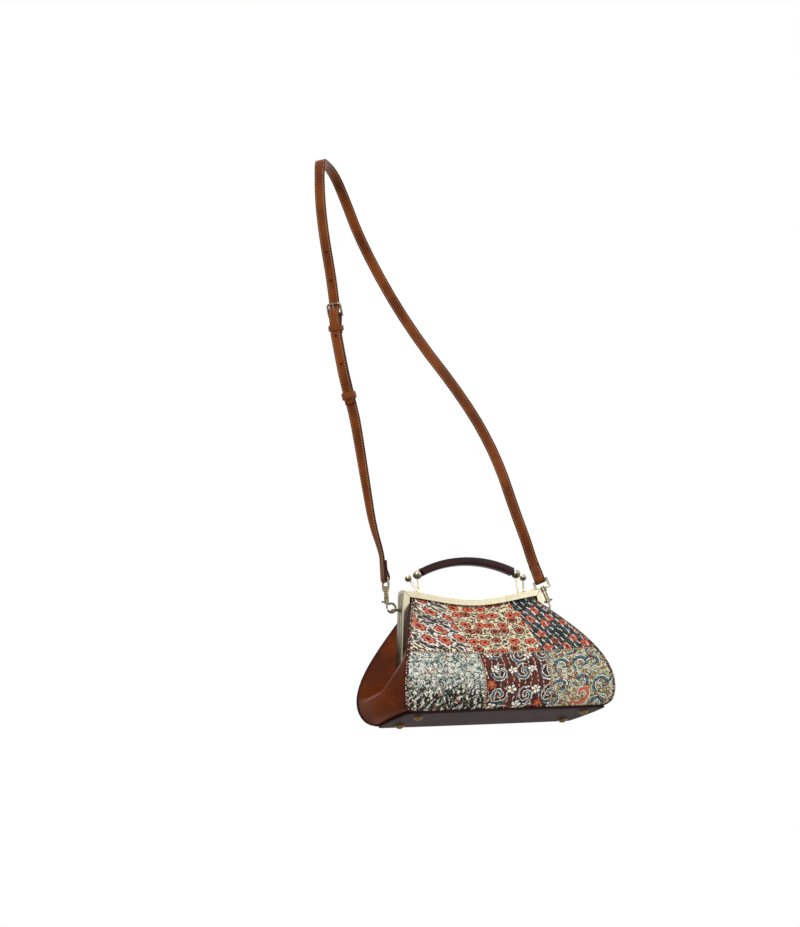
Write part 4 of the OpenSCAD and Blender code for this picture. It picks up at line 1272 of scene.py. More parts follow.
@dataclass
class Shell:
    """The leather body: printed front, back, folded gussets, base, piping and lining."""

    make: Maker
    cols: int = 96
    rows: int = 84
    held_share: float = 0.03
    piping_r: float = 0.0015
    seam_top: float = 0.97
    seam_steps: tuple[int, int, int] = (80, 120, 260)
    seam_rounds: int = 3
    fold_tuck: float = 0.011
    fold_start: Point = (0.34, 0.17, 0.04)
    fold_end: Point = (0.62, 0.345, 0.06)
    fold_reach: Span = (0.5, 0.42)
    fold_lift: Span = (0.84, 0.16)
    fold_rounds: int = 4
    gusset_bulge: float = 0.007
    gusset_top: float = 0.95
    gusset_cols: int = 65
    gusset_rows: int = 73
    base_cols: int = 240
    base_edge_rows: int = 9
    base_rings: Span = (0.03, 0.008)
    base_square: float = 1.6
    least_r: float = 0.0005
    least_half: float = 0.0006
    lining_t: float = 0.0006
    lining_gap: float = 0.003
    lining_u: float = 0.9
    lining_w: Span = (0.04, 0.97)
    lining_steps: int = 41
    lining_trim: tuple[int, int] = (2, 3)
    floor_half: Span = (0.125, 0.046)
    floor_steps: tuple[int, int] = (20, 12)
    floor_gap: float = 0.0032
    panel_bend: Bend = ((0.0, 0.0, 0.09), (0.0, 0.0, 0.1495))
    gusset_bend: Bend = ((0.0, 0.0345, 0.155), (0.0, 0.027, 0.165))
    pieces: list[Object] = field(default_factory=list)

    def place(self, piece: Object, bend: Bend | None = None) -> None:
        """Let a piece ride on the bag, or keep its place baked into its points if it is given a
        bend, and list it.

        Args:
            piece: the piece.
            bend: where it keeps the bag's place and where it has the front half's; only whether it
                is given is used.
        """
        if bend is None:
            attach(piece, Body.BAG.value)
        else:
            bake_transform(piece)
        self.pieces.append(piece)

    def panel(self, panel: Panel) -> tuple[Array, Array]:
        """Grid of a panel with its edge turned up into the rail's groove.

        Args:
            panel: which panel.

        Returns:
            Grid seen from outside, and its flat coordinates in metres.
        """
        s = self.make.shape
        across, up = np.linspace(-1.0, 1.0, self.cols + 1), np.linspace(0.0, 1.0, self.rows + 1)
        u, w = np.meshgrid(across, up)
        grid = s.panel_point(u, w, panel)
        held = grid[-1:].copy()
        held[..., 2] += s.groove_entry + s.groove_hold
        grid = np.concatenate([grid, held])
        high = np.concatenate([w, w[-1:] + self.held_share]) * s.panel_arc
        flat = np.stack([grid[..., 0], high], axis=-1)
        return (grid, flat) if panel is Panel.FRONT else (grid[:, ::-1], flat[:, ::-1])

    def front(self) -> None:
        """Build the printed front."""
        grid, flat = self.panel(Panel.FRONT)
        piece = self.make.sheet("printed_front", grid, self.make.shape.panel_t, flat)
        inward = np.abs(grid[:, :1, 0]) - np.abs(grid[..., 0])
        carried = piece.data.attributes.new("inward", "FLOAT", "POINT")
        carried.data.foreach_set("value", inward.astype(np.float32).ravel())
        nodes = ("front_panel", "front_panel_top")
        self.make.finish(piece, Patchwork().material(), "print_leather", *nodes)
        self.place(piece, self.panel_bend)

    def back(self, leather: Material) -> None:
        """Build the plain back."""
        grid, _ = self.panel(Panel.BACK)
        piece = self.make.sheet("back_leather", grid, self.make.shape.panel_t)
        self.place(self.make.finish(piece, leather, "body_leather", "back_panel"))

    def fold_line(self, line: Point, reach: float, v: Array) -> Array:
        """Share of height of a fold's line: it drops from the front and lifts again at the back."""
        lift_from, lift_over = self.fold_lift
        drop = lerp(line[0], line[1], ease(v / reach))
        return drop + line[2] * ease((v - lift_from) / lift_over)

    def gusset_grid(self) -> Array:
        """Grid of the left gusset, front seam to back seam, with rows going up.

        The sheet bulges between its seams. Above a line that climbs from the back to the front it
        is drawn in behind the legs, where it makes a rounded pocket.
        """
        s = self.make.shape
        across = np.linspace(0.0, 1.0, self.gusset_cols)
        v, w = np.meshgrid(across, np.linspace(0.0, self.gusset_top, self.gusset_rows))
        front, back = s.front_half(w), s.back_half(w)
        yf, yb = s.front_y(w) + s.seam_t, s.back_y(w) - s.seam_t
        y, z = lerp(yf, yb, v), s.height(w, np.full_like(w, s.mouth_w / 2))
        bulge = self.gusset_bulge * np.sin(math.pi * v) * np.sin(math.pi * np.sqrt(w))
        out = lerp(front, back, v) + bulge
        lip = s.leg_in(z) - s.leg_clear
        lip_f = np.maximum(s.frame_y - s.rail_depth - s.leg_clear, yf + s.soft_gap)
        lip_b = np.minimum(s.frame_y + s.rail_depth + s.leg_clear, yb - s.soft_gap)
        strip_f = lerp(front, lip, np.clip((y - yf) / (lip_f - yf), 0.0, 1.0))
        strip_b = lerp(back, lip, np.clip((yb - y) / (yb - lip_b), 0.0, 1.0))
        hollow = np.clip(1.0 - ((y - s.frame_y) / s.rail_depth) ** 2, 0.0, 1.0)
        held = np.where(y < lip_f, strip_f, np.where(y > lip_b, strip_b, lip))
        drawn = held - self.fold_tuck * hollow
        start = self.fold_line(self.fold_start, self.fold_reach[0], v)
        end = self.fold_line(self.fold_end, self.fold_reach[1], v)
        x = -lerp(out, drawn, ease((w - start) / (end - start)))
        for _ in range(self.fold_rounds):
            x[:, 1:-1] = (x[:, :-2] + 2 * x[:, 1:-1] + x[:, 2:]) / 4
        return np.stack([x, y, z], axis=-1)

    @staticmethod
    def inside(grid: Array, gap: float) -> Array:
        """The left gusset's grid moved into the bag along its normals."""
        across, up = np.gradient(grid, axis=1), np.gradient(grid, axis=0)
        return grid + unit(np.cross(across, up)) * gap

    def gussets(self, leather: Material) -> None:
        """Build both folded gussets."""
        left = self.gusset_grid()
        for side in Side:
            grid = left[:, ::-1] if side is Side.LEFT else left * MIRROR
            name = f"gusset_{side.name.lower()}"
            piece = self.make.sheet(f"folded_{name}", grid, self.make.shape.gusset_t)
            self.make.finish(piece, leather, "body_leather", name)
            self.place(piece, self.gusset_bend)

    def seam(self, panel: Panel) -> Array:
        """Line of a panel's seam: down one edge, along the foot and up the other edge."""
        s = self.make.shape
        edge_steps, foot_steps, count = self.seam_steps
        w = np.linspace(0.0, self.seam_top, edge_steps)
        u = np.linspace(-1.0, 1.0, foot_steps)
        edge = np.ones_like(w)
        down = s.panel_point(-edge, w[::-1], panel, s.panel_t)
        along = s.panel_point(u, np.zeros_like(u), panel, s.panel_t)
        up = s.panel_point(edge, w, panel, s.panel_t)
        return evened(np.concatenate([down, along[1:-1], up]), count, self.seam_rounds)

    def piping(self, leather: Material) -> None:
        """Build the dark piping along the seams of both panels."""
        for panel, bend in ((Panel.FRONT, self.panel_bend), (Panel.BACK, None)):
            name = f"{panel.name.lower()}_piping"
            piece = self.make.tube(name, self.seam(panel), self.piping_r)
            self.place(self.make.finish(piece, leather, "base_leather"), bend)

    def outline(self, inset: Array, count: int) -> Array:
        """Rounded rectangle of the base, drawn in by each inset, with one row of points to each."""
        s = self.make.shape
        inset = inset[:, None]
        r = np.maximum(s.base_corner_r - inset, self.least_r)

        def reach(wave: Array, size: float) -> Array:
            """Place along one direction: a straight part that flattens out, and a corner's arc."""
            half = np.maximum(size / 2 - inset, self.least_half)
            flat = np.clip(np.abs(wave) * self.base_square, 0, 1) * (half - r)
            return np.sign(wave) * flat + r * wave

        x = reach(np.cos(around(count))[None, :], s.base_w)
        y = reach(np.sin(around(count))[None, :], s.base_d)
        return np.stack(np.broadcast_arrays(x, y), axis=-1)

    def base(self, leather: Material) -> None:
        """Build the base: a flat leather slab with rounded edges, closed at its middle."""
        s = self.make.shape
        turn = np.linspace(0.0, math.pi, self.base_edge_rows)
        edge = s.base_t / 2 * (1.0 - np.sin(turn))
        rings = np.array([s.base_d / 2, *self.base_rings])
        inset = np.concatenate([rings, edge, rings[::-1]])
        rise = s.base_t / 2 * (1.0 - np.cos(turn))
        z = np.concatenate([np.zeros(len(rings)), rise, np.full(len(rings), s.base_t)])
        ring = self.outline(inset, self.base_cols)
        rows, cols = ring.shape[:2]
        grid = np.concatenate([ring, np.broadcast_to(z[:, None, None], (rows, cols, 1))], axis=-1)
        below = self.make.across(cols)
        above = below[:, ::-1] + (rows - 1) * cols
        faces = np.concatenate([self.make.quads(rows, cols, round_cols=True), below, above])
        piece = self.make.mesh("base_leather", grid, faces)
        self.place(self.make.finish(piece, leather, "base_leather", "base_panel"))

    def lining(self, cloth: Material) -> None:
        """Build the lining's front wall, side walls, and back wall with its floor."""
        s = self.make.shape
        gap = s.seam_t + self.lining_gap
        across = np.linspace(-self.lining_u, self.lining_u, self.lining_steps)
        u, w = np.meshgrid(across, np.linspace(*self.lining_w, self.lining_steps))
        foot, edge = self.lining_trim
        left = self.inside(self.gusset_grid(), gap)[foot:, edge:-edge]
        sides = [left, (left * MIRROR)[:, ::-1]]
        spans = zip(self.floor_half, self.floor_steps)
        x, y = np.meshgrid(*(np.linspace(-half, half, steps) for half, steps in spans))
        floor = np.stack([x, y, np.full_like(x, s.base_t + self.floor_gap)], axis=-1)
        front = [s.panel_point(u, w, Panel.FRONT, gap)[:, ::-1]]
        back = [s.panel_point(u, w, Panel.BACK, gap), floor]
        self.place(self.walls("lining_front", front, cloth, "front_facing"), self.panel_bend)
        self.place(self.walls("lining_sides", sides, cloth), self.gusset_bend)
        self.place(self.walls("lining_back", back, cloth, "lining", "back_facing"))

    def walls(self, name: str, grids: list[Array], cloth: Material, *nodes: str) -> Object:
        """Make one piece of lining.

        Args:
            name: name of the piece.
            grids: its walls, which face into the bag.
            cloth: its finish.
            nodes: solids that it stands for.

        Returns:
            The piece.
        """
        start = np.cumsum([0] + [grid.shape[0] * grid.shape[1] for grid in grids])
        points = np.concatenate([grid.reshape(-1, 3) for grid in grids])
        faces = [self.make.quads(*grid.shape[:2]) + first for grid, first in zip(grids, start)]
        piece = self.make.mesh(name, points, np.concatenate(faces))
        self.make.thicken(piece, self.lining_t)
        return self.make.finish(piece, cloth, "lining_cloth", *nodes)


@dataclass
class Grip:
    """The arched, leather-wrapped grip between the two large balls."""

    make: Maker
    span: float = 0.144
    ball_h: float = 0.197
    rise: float = 0.0175
    thick: float = 0.011
    deep: float = 0.013
    end_in: float = 0.0056
    end_size: float = 0.8
    rail_edge: float = 0.0075
    corner: float = 3.4
    steps: int = 97
    sides: int = 36

    def build(self, leather: Material) -> Object:
        """Sweep a squared oval along the arch, with its ends drawn in and closed.

        Args:
            leather: finish of the wrap.

        Returns:
            The grip.
        """
        half = self.span / 2
        radius = (half**2 + self.rise**2) / (2 * self.rise)
        reach = math.asin((half - self.end_in) / radius)
        a = np.linspace(-reach, reach, self.steps)
        a = np.concatenate([a[:1], a[:1], a, a[-1:], a[-1:]])[:, None]
        ends = np.array([0.0, self.end_size])
        scale = np.concatenate([ends, np.ones(self.steps), ends[::-1]])[:, None]
        out, deep = blunt_ring(self.sides, 2 / self.corner, 2 / self.corner)
        r = radius + (out * self.thick / 2)[None, :] * scale
        x = r * np.sin(a)
        z = self.ball_h + self.rise - radius + r * np.cos(a)
        middle = self.make.shape.frame_y + self.rail_edge / 2
        y = middle + (deep * self.deep / 2)[None, :] * scale
        grid = np.stack(np.broadcast_arrays(x, y, z), axis=-1)
        faces = self.make.quads(*grid.shape[:2], round_cols=True, poles=True)[:, ::-1]
        piece = self.make.mesh("wrapped_grip", grid, faces)
        self.make.finish(piece, leather, "grip_leather", "grip")
        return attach(piece, Body.BAG.value)


@dataclass
class Strap:
    """The two-part shoulder strap, its stitching and its keepers, on the route of the solids."""

    make: Maker
    drop: float = 0.615
    width: float = 0.0145
    thick: float = 0.0026
    edge_power: Span = (0.22, 0.55)
    sides: int = 24
    step: float = 0.0016
    tab: float = 0.026
    bar_d: float = 0.003
    fold_steps: int = 17
    buckle_h: float = 0.016
    heel_at: float = 0.026
    lug_h: float = 0.150
    lug_arm: float = 0.0095
    lug_wire: float = 0.002
    lug_half: float = 0.004
    rail_gap: float = 0.0004
    bowl_r: float = 0.006
    hook_wire: float = 0.003
    barrel: float = 0.016
    collar: float = 0.005
    eye_h: float = 0.011
    move_gap: float = 0.0004
    soft_gap: float = 0.0003
    hole_pitch: float = 0.038
    hole_places: tuple[int, ...] = (-2, -1, 0, 1, 2)
    stitch_step: float = 0.0038
    stitch_in: float = 0.0022
    stitch_half: float = 0.0013
    stitch_r: float = 0.00038
    stitch_grid: tuple[int, int] = (5, 6)
    unstitched: int = 2
    keeper_h: Span = (0.007, 0.009)
    keeper_wall: float = 0.0015
    keeper_corner: float = 0.2
    keeper_edge: Span = (0.5, 0.25)
    keeper_grid: tuple[int, int] = (72, 14)
    tail_reach: float = 0.008
    strand_face: Point = (-0.7, -0.72, 0.0)
    keeper_low: Point = (-0.248, -0.047, 0.403)
    keeper_high: Point = (-0.268, -0.057, 0.508)
    buckle_low: Point = (-0.28, -0.067, 0.587)
    buckle_high: Point = (-0.29, -0.09, 0.717)
    leave_shares: Point = (0.3, 0.8, 1.3)
    bar_passing: Route = ((0.2, 1.0), (0.5, 0.5), (0.8, 0.05), (1.25, 0.05))
    front_route: Route = (
        (-0.218, -0.015, 0.18, -0.97, -0.25, -0.15),
        (-0.228, -0.025, 0.258, -0.9, -0.45, -0.1),
        (-0.24, -0.038, 0.35, -0.78, -0.62, 0.0),
    )
    over_route: Route = (
        (-0.302, -0.102, 0.8, -0.7, -0.7, 0.05),
        (-0.308, -0.113, 0.883, -0.65, -0.72, 0.15),
        (-0.308, -0.132, 0.963, -0.4, -0.5, 0.75),
        (-0.277, -0.073, 0.99, -0.1, -0.1, 1.0),
        (-0.223, 0.01, 1.01, 0.1, 0.1, 1.0),
        (-0.18, 0.07, 0.997, 0.35, 0.6, 0.75),
        (-0.125, 0.102, 0.867, 0.5, 0.8, 0.3),
        (-0.033, 0.107, 0.683, 0.5, 0.85, 0.2),
        (0.072, 0.065, 0.491, 0.55, 0.82, 0.15),
        (0.123, 0.046, 0.358, 0.6, 0.78, 0.15),
        (0.15, 0.036, 0.22, 0.6, 0.78, 0.15),
        (0.167, 0.036, 0.159, 0.6, 0.78, 0.15),
    )
    left_lean: Point = (0.02, -0.06, 1.0)
    right_lean: Point = (-0.16, 0.22, 0.96)
    left_face: Point = (-1.0, 0.0, 0.0)
    right_face: Point = (0.6, 0.78, 0.0)
    keeper_place: Stand = field(init=False)
    buckle_place: Stand = field(init=False)
    prong_at: Array = field(init=False)

    @property
    def fold_r(self) -> float:
        """Radius of a fold to the middle of the leather."""
        return self.bar_d / 2 + self.soft_gap + self.thick / 2

    @property
    def layer(self) -> float:
        """Distance between two layers of strap."""
        return self.thick + self.soft_gap

    @property
    def hang(self) -> Array:
        """The middle between the lugs, from which the routes are measured."""
        return np.array([0.0, self.make.shape.frame_y, self.lug_h])

    @staticmethod
    def square(n: Array, d: Array) -> Array:
        """The part of n square to d, of length 1."""
        return unit(n - d * np.sum(n * d, axis=-1, keepdims=True))

    def at(self, shares: Point) -> Array:
        """Place of a share of the drop."""
        return self.hang + np.array(shares) * self.drop

    def lean(self, side: Side) -> Array:
        """Direction of a hook."""
        return unit(np.array(self.left_lean if side is Side.LEFT else self.right_lean))

    @staticmethod
    def leaned(p: Array, d: Array) -> Array:
        """Turn points with the turn that takes up to d."""
        axis = np.cross(UP, d)
        size = np.linalg.norm(axis)
        return p @ np.array(Matrix.Rotation(math.asin(min(1.0, size)), 3, axis / size)).T

    def hook_foot(self, side: Side) -> Array:
        """Lower end of a hook's barrel."""
        s = self.make.shape
        leg_out = s.leg_in(np.array(self.lug_h)) + s.rail_face
        lug_y = s.frame_y + self.rail_gap + self.lug_wire / 2 + self.lug_half
        lug = np.array([side.value * (float(leg_out) + self.lug_arm), lug_y, self.lug_h])
        seat = self.bowl_r - self.hook_wire / 2 - self.lug_wire / 2 - self.move_gap
        bowl = np.array([-side.value * self.bowl_r, 0.0, self.hook_wire / 3 - self.bowl_r - seat])
        return lug - self.leaned(bowl, self.lean(side))

    def eye_bar(self, side: Side) -> Array:
        """Middle of the bar that a strap end folds round."""
        up = self.barrel + self.move_gap + self.collar + self.eye_h
        return self.hook_foot(side) + self.lean(side) * up

    def end_face(self, side: Side) -> Array:
        """Outward face of a strap end."""
        face = self.left_face if side is Side.LEFT else self.right_face
        return self.square(np.array(face), self.lean(side))

    @staticmethod
    def rows(places: Array, face: Array) -> Array:
        """Rows of place and face."""
        return np.concatenate([places, np.broadcast_to(face, places.shape)], axis=1)

    def fold(self, bar: Array, up: Array, face: Array) -> Array:
        """Half a turn round a bar, from the face round to the other side."""
        a = np.linspace(0.0, math.pi, self.fold_steps)[:, None]
        n = face * np.cos(a) - up * np.sin(a)
        return np.concatenate([bar + n * self.fold_r, n], axis=1)

    def tab_rows(self, bar: Array, up: Array, face: Array) -> Array:
        """The folded end, which lies back against the strap."""
        far = bar - face * self.fold_r + up * self.fold_r
        near = bar + face * (self.fold_r - self.layer)
        return self.rows(np.stack([far, near + up * self.tab / 2, near + up * self.tab]), -face)

    def leave(self, side: Side) -> Array:
        """The strap's first stretch away from a hook."""
        face, lean = self.end_face(side), self.lean(side)
        shares = np.array(self.leave_shares)[:, None]
        return self.rows(self.eye_bar(side) + face * self.fold_r + lean * self.tab * shares, face)

    def route(self, listed: Route) -> Array:
        """Rows of a listed route."""
        given = np.array(listed)
        return np.concatenate([self.hang + given[:, :3] * self.drop, given[:, 3:]], axis=1)

    @staticmethod
    def smooth(rows: Array) -> Array:
        """Cut the corners twice, a quarter in from each end of every step."""
        for _ in range(2):
            cut = [lerp(rows[:-1], rows[1:], share) for share in (0.25, 0.75)]
            inner = np.stack(cut, axis=1).reshape(-1, rows.shape[1])
            rows = np.concatenate([rows[:1], inner, rows[-1:]])
        return rows

    def lines(self) -> tuple[Array, Array]:
        """Rows of place and face along the short and the long strap."""
        k_low, k_high = self.at(self.keeper_low), self.at(self.keeper_high)
        b_low, b_high = self.at(self.buckle_low), self.at(self.buckle_high)
        k_up, b_up = unit(k_high - k_low), unit(b_high - b_low)
        k_face = self.square(np.array(self.strand_face), k_up)
        b_face = self.square(np.array(self.strand_face), b_up)
        self.keeper_place = (lerp(k_low, k_high, 0.5), k_up, k_face)
        self.buckle_place = (b_low, b_up, b_face)
        bar = b_low + b_up * self.heel_at - b_face * self.fold_r
        self.prong_at = bar + b_up * self.buckle_h / 2
        shares = np.linspace(0.0, 1.0, 5)[:, None]
        heel = lerp(b_low, b_low + b_up * self.heel_at, shares)[:4]
        keep = lerp(k_low, k_high, shares)
        left, right = (
            (self.eye_bar(side), self.lean(side), self.end_face(side)) for side in Side
        )
        middle = [
            self.leave(Side.LEFT),
            self.route(self.front_route),
            self.rows(keep, k_face),
            self.rows(heel, b_face),
        ]
        short = [
            self.tab_rows(*left)[::-1],
            self.fold(*left)[::-1],
            self.smooth(np.concatenate(middle)),
            self.fold(bar, -b_up, b_face),
            self.tab_rows(bar, -b_up, b_face),
        ]
        tail = self.keeper_place[0] - k_up * (self.keeper_h[1] / 2 + self.tail_reach)
        passing = np.array(self.bar_passing)
        out = b_face * (self.fold_r + self.layer)
        over = bar + b_up * self.buckle_h * passing[:, :1] + out * passing[:, 1:]
        run = [
            self.rows((tail + k_face * self.layer)[None], k_face),
            self.rows(keep[2:] + k_face * self.layer, k_face),
            self.rows(heel + b_face * self.layer, b_face),
            self.rows(over, b_face),
            self.rows(b_high[None], b_face),
            self.route(self.over_route),
            self.leave(Side.RIGHT)[::-1],
        ]
        long = [self.smooth(np.concatenate(run)), self.fold(*right), self.tab_rows(*right)]
        return np.concatenate(short), np.concatenate(long)

    def carried(self, rows: Array, step: float) -> tuple[Array, Array, Array, Array]:
        """Even steps along a strap.

        Args:
            rows: rows of place and face.
            step: distance between them.

        Returns:
            Places, directions across, faces, and distance along.
        """
        length = float(np.linalg.norm(np.diff(rows[:, :3], axis=0), axis=1).sum())
        even = evened(rows, max(8, int(length / step)), 1)
        place = even[:, :3]
        along = unit(np.gradient(place, axis=0))
        face = self.square(even[:, 3:], along)
        return place, np.cross(along, face), face, run_along(place)

    def band(self, name: str, rows: Array, finish: Material, node: str) -> Object:
        """Sweep a flat section with rounded edges along a strap, closed at its ends.

        Args:
            name: name of the piece.
            rows: rows of place and face.
            finish: its leather.
            node: solid that it stands for.

        Returns:
            The strap.
        """
        place, across, face, run = self.carried(rows, self.step)
        x, y = blunt_ring(self.sides, *self.edge_power)
        x, y = x * self.width / 2, y * self.thick / 2
        shrink = np.ones(len(place))
        shrink[[0, -1]] = 0.0
        ring = across[:, None] * x[:, None] + face[:, None] * y[:, None]
        grid = place[:, None] + ring * shrink[:, None, None]
        flat = np.stack(np.broadcast_arrays(run[:, None], x * shrink[:, None]), axis=-1)
        faces = self.make.quads(*grid.shape[:2], round_cols=True, poles=True)[:, ::-1]
        piece = self.make.mesh(name, grid, faces, flat)
        self.make.finish(piece, finish, "strap_leather", node)
        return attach(piece, Body.BAG.value)

    def stitches(self, name: str, rows: Array, thread: Material) -> Object:
        """Sew both edges: one small spindle to a stitch, laid out with whole arrays."""
        sewn = slice(self.unstitched, -self.unstitched)
        carried = self.carried(rows, self.stitch_step)
        place, across, face = (part[sewn] for part in carried[:3])
        along = np.cross(face, across)
        steps, sides = self.stitch_grid
        span = np.linspace(-1.0, 1.0, steps)[:, None]
        girth = np.sqrt(np.clip(1.0 - span**2, 0.0, 1.0)) * self.stitch_r
        turn = around(sides)
        parts = (span * self.stitch_half, girth * np.cos(turn), girth * np.sin(turn))
        spindle = np.stack(np.broadcast_arrays(*parts), axis=-1).reshape(-1, 3)
        turned = np.einsum("pk,nkx->npx", spindle, np.stack([along, across, face], axis=1))
        reach = self.width / 2 - self.stitch_in
        corners = [(a, f) for a in (-1.0, 1.0) for f in (-1.0, 1.0)]
        middles = np.concatenate(
            [place + across * a * reach + face * f * (self.thick / 2) for a, f in corners]
        )
        points = middles[:, None] + np.tile(turned, (len(corners), 1, 1))
        one = self.make.quads(steps, sides, round_cols=True, poles=True)[:, ::-1]
        first = np.arange(len(middles))[:, None, None] * len(spindle)
        piece = self.make.mesh(name, points, (one[None] + first).reshape(-1, 4))
        self.make.finish(piece, thread, "strap_leather")
        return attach(piece, Body.BAG.value)

    def keeper(
        self,
        name: str,
        node: str,
        stand: Stand,
        reach: Span,
        height: float,
        body: Body,
        leather: Material,
    ) -> Object:
        """Build a leather loop: a rounded wall section carried round a rounded outline.

        Args:
            name: name of the piece.
            node: solid that it stands for.
            stand: its middle, up and face.
            reach: how far it goes over the strap's middle layer, and under it.
            height: length along the strap.
            body: group that it rides on.
            leather: its finish.

        Returns:
            The keeper.
        """
        middle, up, face = stand
        front, back = reach
        side = np.cross(face, up)
        rim, section = self.keeper_grid
        half_w = self.width / 2 + self.move_gap + self.keeper_wall / 2
        half_d = (front + back) / 2 + self.move_gap + self.keeper_wall / 2
        x, y = blunt_ring(rim, self.keeper_corner, self.keeper_corner)
        x, y = (x * half_w)[:, None], (y * half_d)[:, None]
        ring = middle + face * (front - back) / 2 + side * x + face * y
        turn = around(rim)[:, None]
        out = unit(side * np.cos(turn) + face * np.sin(turn))
        wall, tall = blunt_ring(section, *self.keeper_edge)
        wall, tall = (wall * self.keeper_wall / 2)[:, None], (tall * height / 2)[:, None]
        grid = ring[:, None] + out[:, None] * wall + up * tall
        faces = self.make.quads(rim, section, round_rows=True, round_cols=True)[:, ::-1]
        piece = self.make.mesh(name, grid, faces)
        self.make.finish(piece, leather, "strap_leather", node)
        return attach(piece, body.value)

    def build(self, plain: Material, thread: Material) -> list[Object]:
        """Build both straps, their stitching and the keepers.

        Args:
            plain: leather of the keepers.
            thread: finish of the stitching.

        Returns:
            The pieces.
        """
        short, long = self.lines()
        place, _, _, run = self.carried(long, self.step)
        prong = float(run[np.argmin(np.linalg.norm(place - self.prong_at, axis=1))])
        holes = tuple(prong + k * self.hole_pitch for k in self.hole_places)
        punched = StrapLeather("long_strap_leather", self.width, self.stitch_in, holes)
        whole = StrapLeather("short_strap_leather", self.width, self.stitch_in)
        over, under = self.layer + self.thick / 2, self.thick / 2
        fixed_h, loose_h = self.keeper_h
        low, up, face = self.buckle_place
        middle = low + up * (self.heel_at - (self.tab + fixed_h) / 2 - 2 * self.soft_gap)
        fixed = (middle, up, face)
        loose = self.keeper_place
        return [
            self.band("long_strap_band", long, punched.material(), "long_strap"),
            self.band("short_strap_band", short, whole.material(), "short_strap"),
            self.stitches("long_strap_stitching", long, thread),
            self.stitches("short_strap_stitching", short, thread),
            self.keeper(
                "fixed_loop", "fixed_keeper", fixed, (over, over), fixed_h, Body.BAG, plain
            ),
            self.keeper(
                "loose_loop", "loose_keeper", loose, (over, under), loose_h, Body.KEEPER, plain
            ),
        ]


@dataclass
class Springs:
    """The coil springs in the hooks."""

    make: Maker
    strap: Strap
    coil_r: float = 0.001075
    wire_r: float = 0.00025
    low: float = 0.00605
    length: float = 0.0071
    turns: int = 5
    steps: int = 20
    sides: int = 6
    travel: float = 0.005

    def build(self, metal: Material) -> list[Object]:
        """Wind each spring as a helix up its hook.

        Args:
            metal: finish of the wire.

        Returns:
            The springs.
        """
        share = np.linspace(0.0, 1.0, self.turns * self.steps + 1)
        turn = share * self.turns * math.tau
        x, y = self.coil_r * np.cos(turn), self.coil_r * np.sin(turn)
        coil = np.stack([x, y, self.low + self.length * share], axis=1)
        made = []
        for side in Side:
            word, lean = side.name.lower(), self.strap.lean(side)
            foot = self.strap.hook_foot(side)
            path = foot + self.strap.leaned(coil, lean)
            piece = self.make.tube(f"coil_spring_{word}", path, self.wire_r, self.sides)
            self.make.finish(piece, metal, "spring_steel", f"trigger_spring_{word}")
            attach(piece, f"{word}_hook")
            top = foot + lean * (self.low + self.length) + self.make.origin
            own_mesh(piece)
            made.append(piece)
        return made


@dataclass(frozen=True)
class Lamp:
    """A square soft lamp."""

    name: str
    place: Point
    size: float
    power: float


